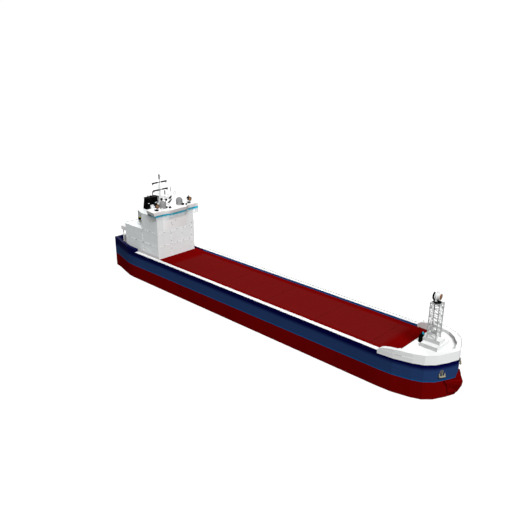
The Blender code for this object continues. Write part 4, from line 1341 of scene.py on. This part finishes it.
def make_vent():
    """Goose-neck vent: flanged foot, bent pipe with a collar and a pale blue pointed cap."""
    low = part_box("vent_post")[0]
    seat = Vector((low.x + 0.026, low.y + 0.026, low.z))
    # Line of the pipe: places from the middle of its foot
    line = [seat + Vector(step) for step in (
        (0, 0, 0), (0, 0, 0.060), (0.001, 0, 0.084), (0.006, 0.003, 0.100), (0.015, 0.009, 0.116),
        (0.026, 0.015, 0.130))]
    head = line[-1]
    way = (head - line[-3]).normalized()
    pipe = Shape()
    pipe.tube(line, 0.0310, 24)
    pipe.turned(seat, UP, [(0, 0.033), (0.004, 0.033), (0.005, 0.027)], 28)
    collar = [(0, 0.027), (0.002, 0.0295), (0.012, 0.0295), (0.014, 0.026), (0.015, 0.015)]
    pipe.turned(head - way * 0.012, way, collar, 28)
    pipe.bolts(seat + rise(0.003), 0.030, 8, 0.004, 0.0022)
    pipe.finish("vent_pipe", "black", "hull", ("vent_post",))
    cap = Shape()
    cap.turned(head - way * 0.002, UP, [(0, 0.022), (0.010, 0.021), (0.028, 0.010), (0.042, 0.002)], 24)
    cap.finish("vent_cap", "teal")


# Holds, anchors, propeller, rudder, stern and foredeck

# Holds: their number, inner face of the sides, tank top, head, depth and number of the frames,
# and head and middle of the ladder
HOLDS = 5
HOLD_SIDE = 0.5487
TANK_TOP = 0.1205
FRAME_HEAD = 0.530
FRAME_DEEP = 0.020
FRAMES = 5
HOLD_LADDER_HEAD = 0.520
HOLD_LADDER_Y = 0.420


def make_hold_frames():
    """Side frames of the holds between the cross decks, and a ladder on the aft bulkhead of each hold."""
    frames = Shape()
    ladders = Shape()
    for n in range(1, HOLDS + 1):
        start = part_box("cover_%d_aft" % n)[0].x
        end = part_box("cover_%d_fore" % n)[1].x
        for i in range(FRAMES):
            x = start + (end - start) * (i + 0.5) / FRAMES
            for way in SIDES:
                y = way * (HOLD_SIDE - FRAME_DEEP / 2)
                frames.post(x, y, TANK_TOP, FRAME_HEAD, 0.006, FRAME_DEEP / 2)
        x = start + 0.014
        for way in SIDES:
            y = HOLD_LADDER_Y + way * LADDER_HALF
            ladders.pole(x, y, TANK_TOP, HOLD_LADDER_HEAD, 0.0032)
            for z in (0.160, 0.320, 0.500):
                ladders.rod((start + 0.0005, y, z), (x, y, z), 0.0026, 6)
        ladders.rungs((x, HOLD_LADDER_Y, 0.140), Vector((0, LADDER_HALF, 0)), 13, 0.0024)
    frames.finish("hold_frames", "navy")
    ladders.finish("hold_ladders", "steel")


# Ends of the flat of the port bow that carries an anchor, and the anchor's distance from the plating
ANCHOR_FACET = ((3.906, 0.364), (4.000, 0.184))
ANCHOR_OUT = 0.018


def make_anchor(name, side):
    """Stockless anchor in its hawse: ringed plate, shank, shackle, crown and two tapered flukes."""
    near = Vector((*ANCHOR_FACET[0], 0.0))
    far = Vector((*ANCHOR_FACET[1], 0.0))
    along = (far - near).normalized()
    out = Vector((-along.y, along.x, 0.0))
    centre = (near + far) / 2

    def place(u, v, z):
        """Point at a distance along the plating, one out from it and a level, on the anchor's side."""
        spot = centre + along * u + out * v
        return Vector((spot.x, spot.y * side, z))

    iron = Shape()
    iron.rod(place(0, ANCHOR_OUT, 0.386), place(0, ANCHOR_OUT, 0.444), 0.0085, 14, 0.0065)
    iron.ring(place(0, ANCHOR_OUT, 0.450), (along.x, along.y * side, 0.0), 0.0085, 0.0026, 20, 8)
    iron.rod(place(-0.050, 0.026, 0.380), place(0.050, 0.026, 0.380), 0.0125, 14)
    for hand in SIDES:
        rings = []
        # Fluke sections: height, distance from the shank, half width and half thickness
        for z, reach, wide, thick in (
                (0.374, 0.038, 0.014, 0.0110), (0.394, 0.044, 0.013, 0.0085), (0.414, 0.047, 0.010, 0.0060),
                (0.434, 0.046, 0.004, 0.0025)):
            rings.append([place(hand * (reach + wide * c), ANCHOR_OUT + thick * s, z) for c, s in spokes(8)])
        iron.bridge(rings)
    iron.finish(name + "_iron", "iron", "hull", (name,))
    plate = Shape()
    way = (out.x, out.y * side, 0.0)
    profile = [(0, 0.034), (0.002, 0.034), (0.004, 0.028), (0.004, 0.020)]
    plate.turned(place(0, 0.0006, 0.446), way, profile, 28)
    plate.finish(name + "_hawse", "spot")


# Propeller: place of its blades along the shaft, their number and their length from the shaft's axis
PROPELLER_X = -3.870
BLADES = 4
BLADE_REACH = 0.107
# The rudder's axis, where its stock stands
RUDDER_X = -4.010


def make_propeller():
    """Skewed blades with rounded tips on a hub with a cone and its shaft."""
    low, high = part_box("propeller")
    axis_z = (low.z + high.z) / 2
    mid = Vector((PROPELLER_X, 0.0, axis_z))
    bronze = Shape()
    length = high.x - low.x - 0.001
    hub = [(0, 0.002), (0.010, 0.014), (0.026, 0.022), (0.045, 0.0255), (0.070, 0.0245), (length, 0.020)]
    bronze.turned((low.x, 0.0, axis_z), AHEAD, hub, 32)
    for i in range(BLADES):
        spin = Matrix.Rotation(math.radians(360.0 / BLADES * i + 45.0), 3, "X")
        rings = []
        # Blade sections: share of the radius, half chord, pitch in degrees, half thickness and skew
        for share, chord, pitch, thick, skew in (
                (0.18, 0.020, 60.0, 0.0060, 0.000), (0.40, 0.030, 47.0, 0.0046, 0.003),
                (0.62, 0.036, 37.0, 0.0034, 0.007), (0.82, 0.032, 31.0, 0.0024, 0.012),
                (0.95, 0.018, 28.0, 0.0016, 0.016), (1.00, 0.004, 27.0, 0.0008, 0.018)):
            lean = Matrix.Rotation(math.radians(90.0 - pitch), 3, "Z")
            rings.append([
                mid + spin @ (lean @ Vector((chord * c + skew, -thick * s, 0)) + rise(BLADE_REACH * share))
                for c, s in spokes(10)])
        bronze.bridge(rings)
    bronze.finish("propeller_bronze", "bronze", "propeller", ("propeller",), 30.0)


def make_rudder():
    """Rounded foil between end plates, on its stock."""
    low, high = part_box("rudder")
    chord = high.x - low.x - 0.004
    blade = Shape()
    rings = []
    # Sections: level and largest half thickness
    for z, wide in ((0.022, 0.0100), (0.030, 0.0145), (0.236, 0.0145), (0.243, 0.0100)):
        ring = []
        for c, s in spokes(22):
            share = 0.5 * (1.0 + c)
            ring.append(Vector((low.x + 0.002 + chord * share, wide * s * (0.35 + 0.65 * share), z)))
        rings.append(ring)
    blade.bridge(rings)
    for z in (0.0205, 0.2415):
        blade.box((low.x + 0.010, -0.0155, z), (high.x - 0.008, 0.0155, z + 0.0035))
    blade.pole(RUDDER_X, 0, 0.200, high.z - 0.0005, 0.0115, 20)
    blade.finish("rudder_blade", "bottom", "rudder", ("rudder",), 30.0)


# Stern locker: its corners on the deck and the level of its top
LOCKER_AFT = (-3.990, -0.300)
LOCKER_FORE = (-3.865, 0.040)
LOCKER_HEAD = 0.736


def make_stern_fittings():
    """Mooring locker on the aft deck with its lid and hinges, and bitts aft and on the bow."""
    ax, ay = LOCKER_AFT
    fx, fy = LOCKER_FORE
    locker = Shape()
    locker.box((ax, ay, DECK_Z), (fx, fy, LOCKER_HEAD))
    locker.box((ax - 0.004, ay - 0.004, LOCKER_HEAD), (fx + 0.004, fy + 0.004, LOCKER_HEAD + 0.008))
    for y in (-0.240, -0.130, -0.020):
        locker.box((ax - 0.008, y - 0.010, LOCKER_HEAD - 0.012), (ax, y + 0.010, LOCKER_HEAD + 0.006))
    locker.finish("stern_locker", "trim")
    bitts = Shape()
    profile = [(0, 0.012), (0.038, 0.012), (0.039, 0.015), (0.046, 0.015), (0.048, 0.012)]
    # Bitts: middle of each pair and the level of its deck
    for x, y, seat in ((-3.930, 0.200, DECK_Z), (3.420, 0.420, FOREDECK_Z)):
        bitts.post(x, y, seat, seat + 0.004, 0.022, 0.052)
        for way in SIDES:
            bitts.turned((x, y + way * 0.032, seat + 0.003), UP, profile, 20)
    bitts.finish("mooring_bitts", "trim")


DAVIT_FOOT = (3.594, 0.300)
# Winch: middle on the deck, half length of its drum and height of its axle
WINCH = (3.495, 0.288)
WINCH_HALF = 0.034
WINCH_AXLE = FOREDECK_Z + 0.040


def make_foredeck_fittings():
    """Hooked davit and a small winch beside the foremast, and bolts along the white band."""
    davit = Shape()
    davit.tube(
        [(*DAVIT_FOOT, FOREDECK_Z), (*DAVIT_FOOT, 0.760), (3.600, 0.296, 0.792), (3.612, 0.288, 0.806),
         (3.626, 0.279, 0.800), (3.634, 0.274, 0.784)], 0.0060, 12)
    davit.turned((*DAVIT_FOOT, FOREDECK_Z), UP, [(0, 0.018), (0.004, 0.018), (0.006, 0.008)], 18)
    davit.finish("davit", "lattice")
    winch = Shape()
    x, y = WINCH
    winch.box((3.470, 0.250, FOREDECK_Z), (3.520, 0.330, FOREDECK_Z + 0.010))
    winch.rod((x, 0.256, WINCH_AXLE), (x, 0.324, WINCH_AXLE), 0.020, 20)
    for side in SIDES:
        end = y + side * WINCH_HALF
        winch.rod((x, end - 0.003, WINCH_AXLE), (x, end + 0.003, WINCH_AXLE), 0.030, 24)
        winch.post(x, end, FOREDECK_Z, WINCH_AXLE, 0.010, 0.004)
    winch.finish("bow_winch", "grey")
    dark = Shape()
    pale = Shape()
    # Rows of bolts: start, end, number of bolts and how many of them are dark
    for near, far, count, shaded in (
            ((3.160, -0.6225), (3.322, -0.6133), 5, 0), ((3.370, -0.6050), (3.611, -0.5516), 10, 4)):
        near = Vector((*near, 0.640))
        far = Vector((*far, 0.648))
        out = Vector((far.y - near.y, -(far.x - near.x), 0.0)).normalized()
        for i in range(count):
            spot = near.lerp(far, i / (count - 1))
            kind = dark if i < shaded else pale
            kind.rod(spot - out * 0.0020, spot + out * 0.0045, 0.0085, 8, 0.0070)
    dark.finish("band_bolts_dark", "fade")
    pale.finish("band_bolts_pale", "bolt")


make_camera()
make_world()
make_stage()
make_light("key", *KEY_LIGHT)
make_light("fill", *FILL_LIGHT)
paint_nodes()
make_house_seams()
make_radome("radome_starboard")
make_radome("radome_port")
# Lamps: solid, paint of the drum and the drum's share of the solid's breadth
make_lamp("searchlight_starboard", "black", 1.0)
make_lamp("searchlight_port", "black", 1.0)
make_lamp("searchlight_foremast", "trim", 0.90)
make_scanner("scanner_lower")
make_scanner("scanner_upper")
make_mast()
make_yards()
make_lattice()
make_vent()
make_funnel_trim()
make_roof_fittings()
make_aerials()
make_deck_lamp()
make_port_wing()
make_window_frames()
make_doors()
make_rails()
make_hold_frames()
make_bay_front()
make_sill_panes()
make_edge_shade_dashes()
make_lamp_hoop()
make_anchor("anchor_starboard", -1)
make_anchor("anchor_port", 1)
make_propeller()
make_rudder()
make_stern_fittings()
make_foredeck_fittings()
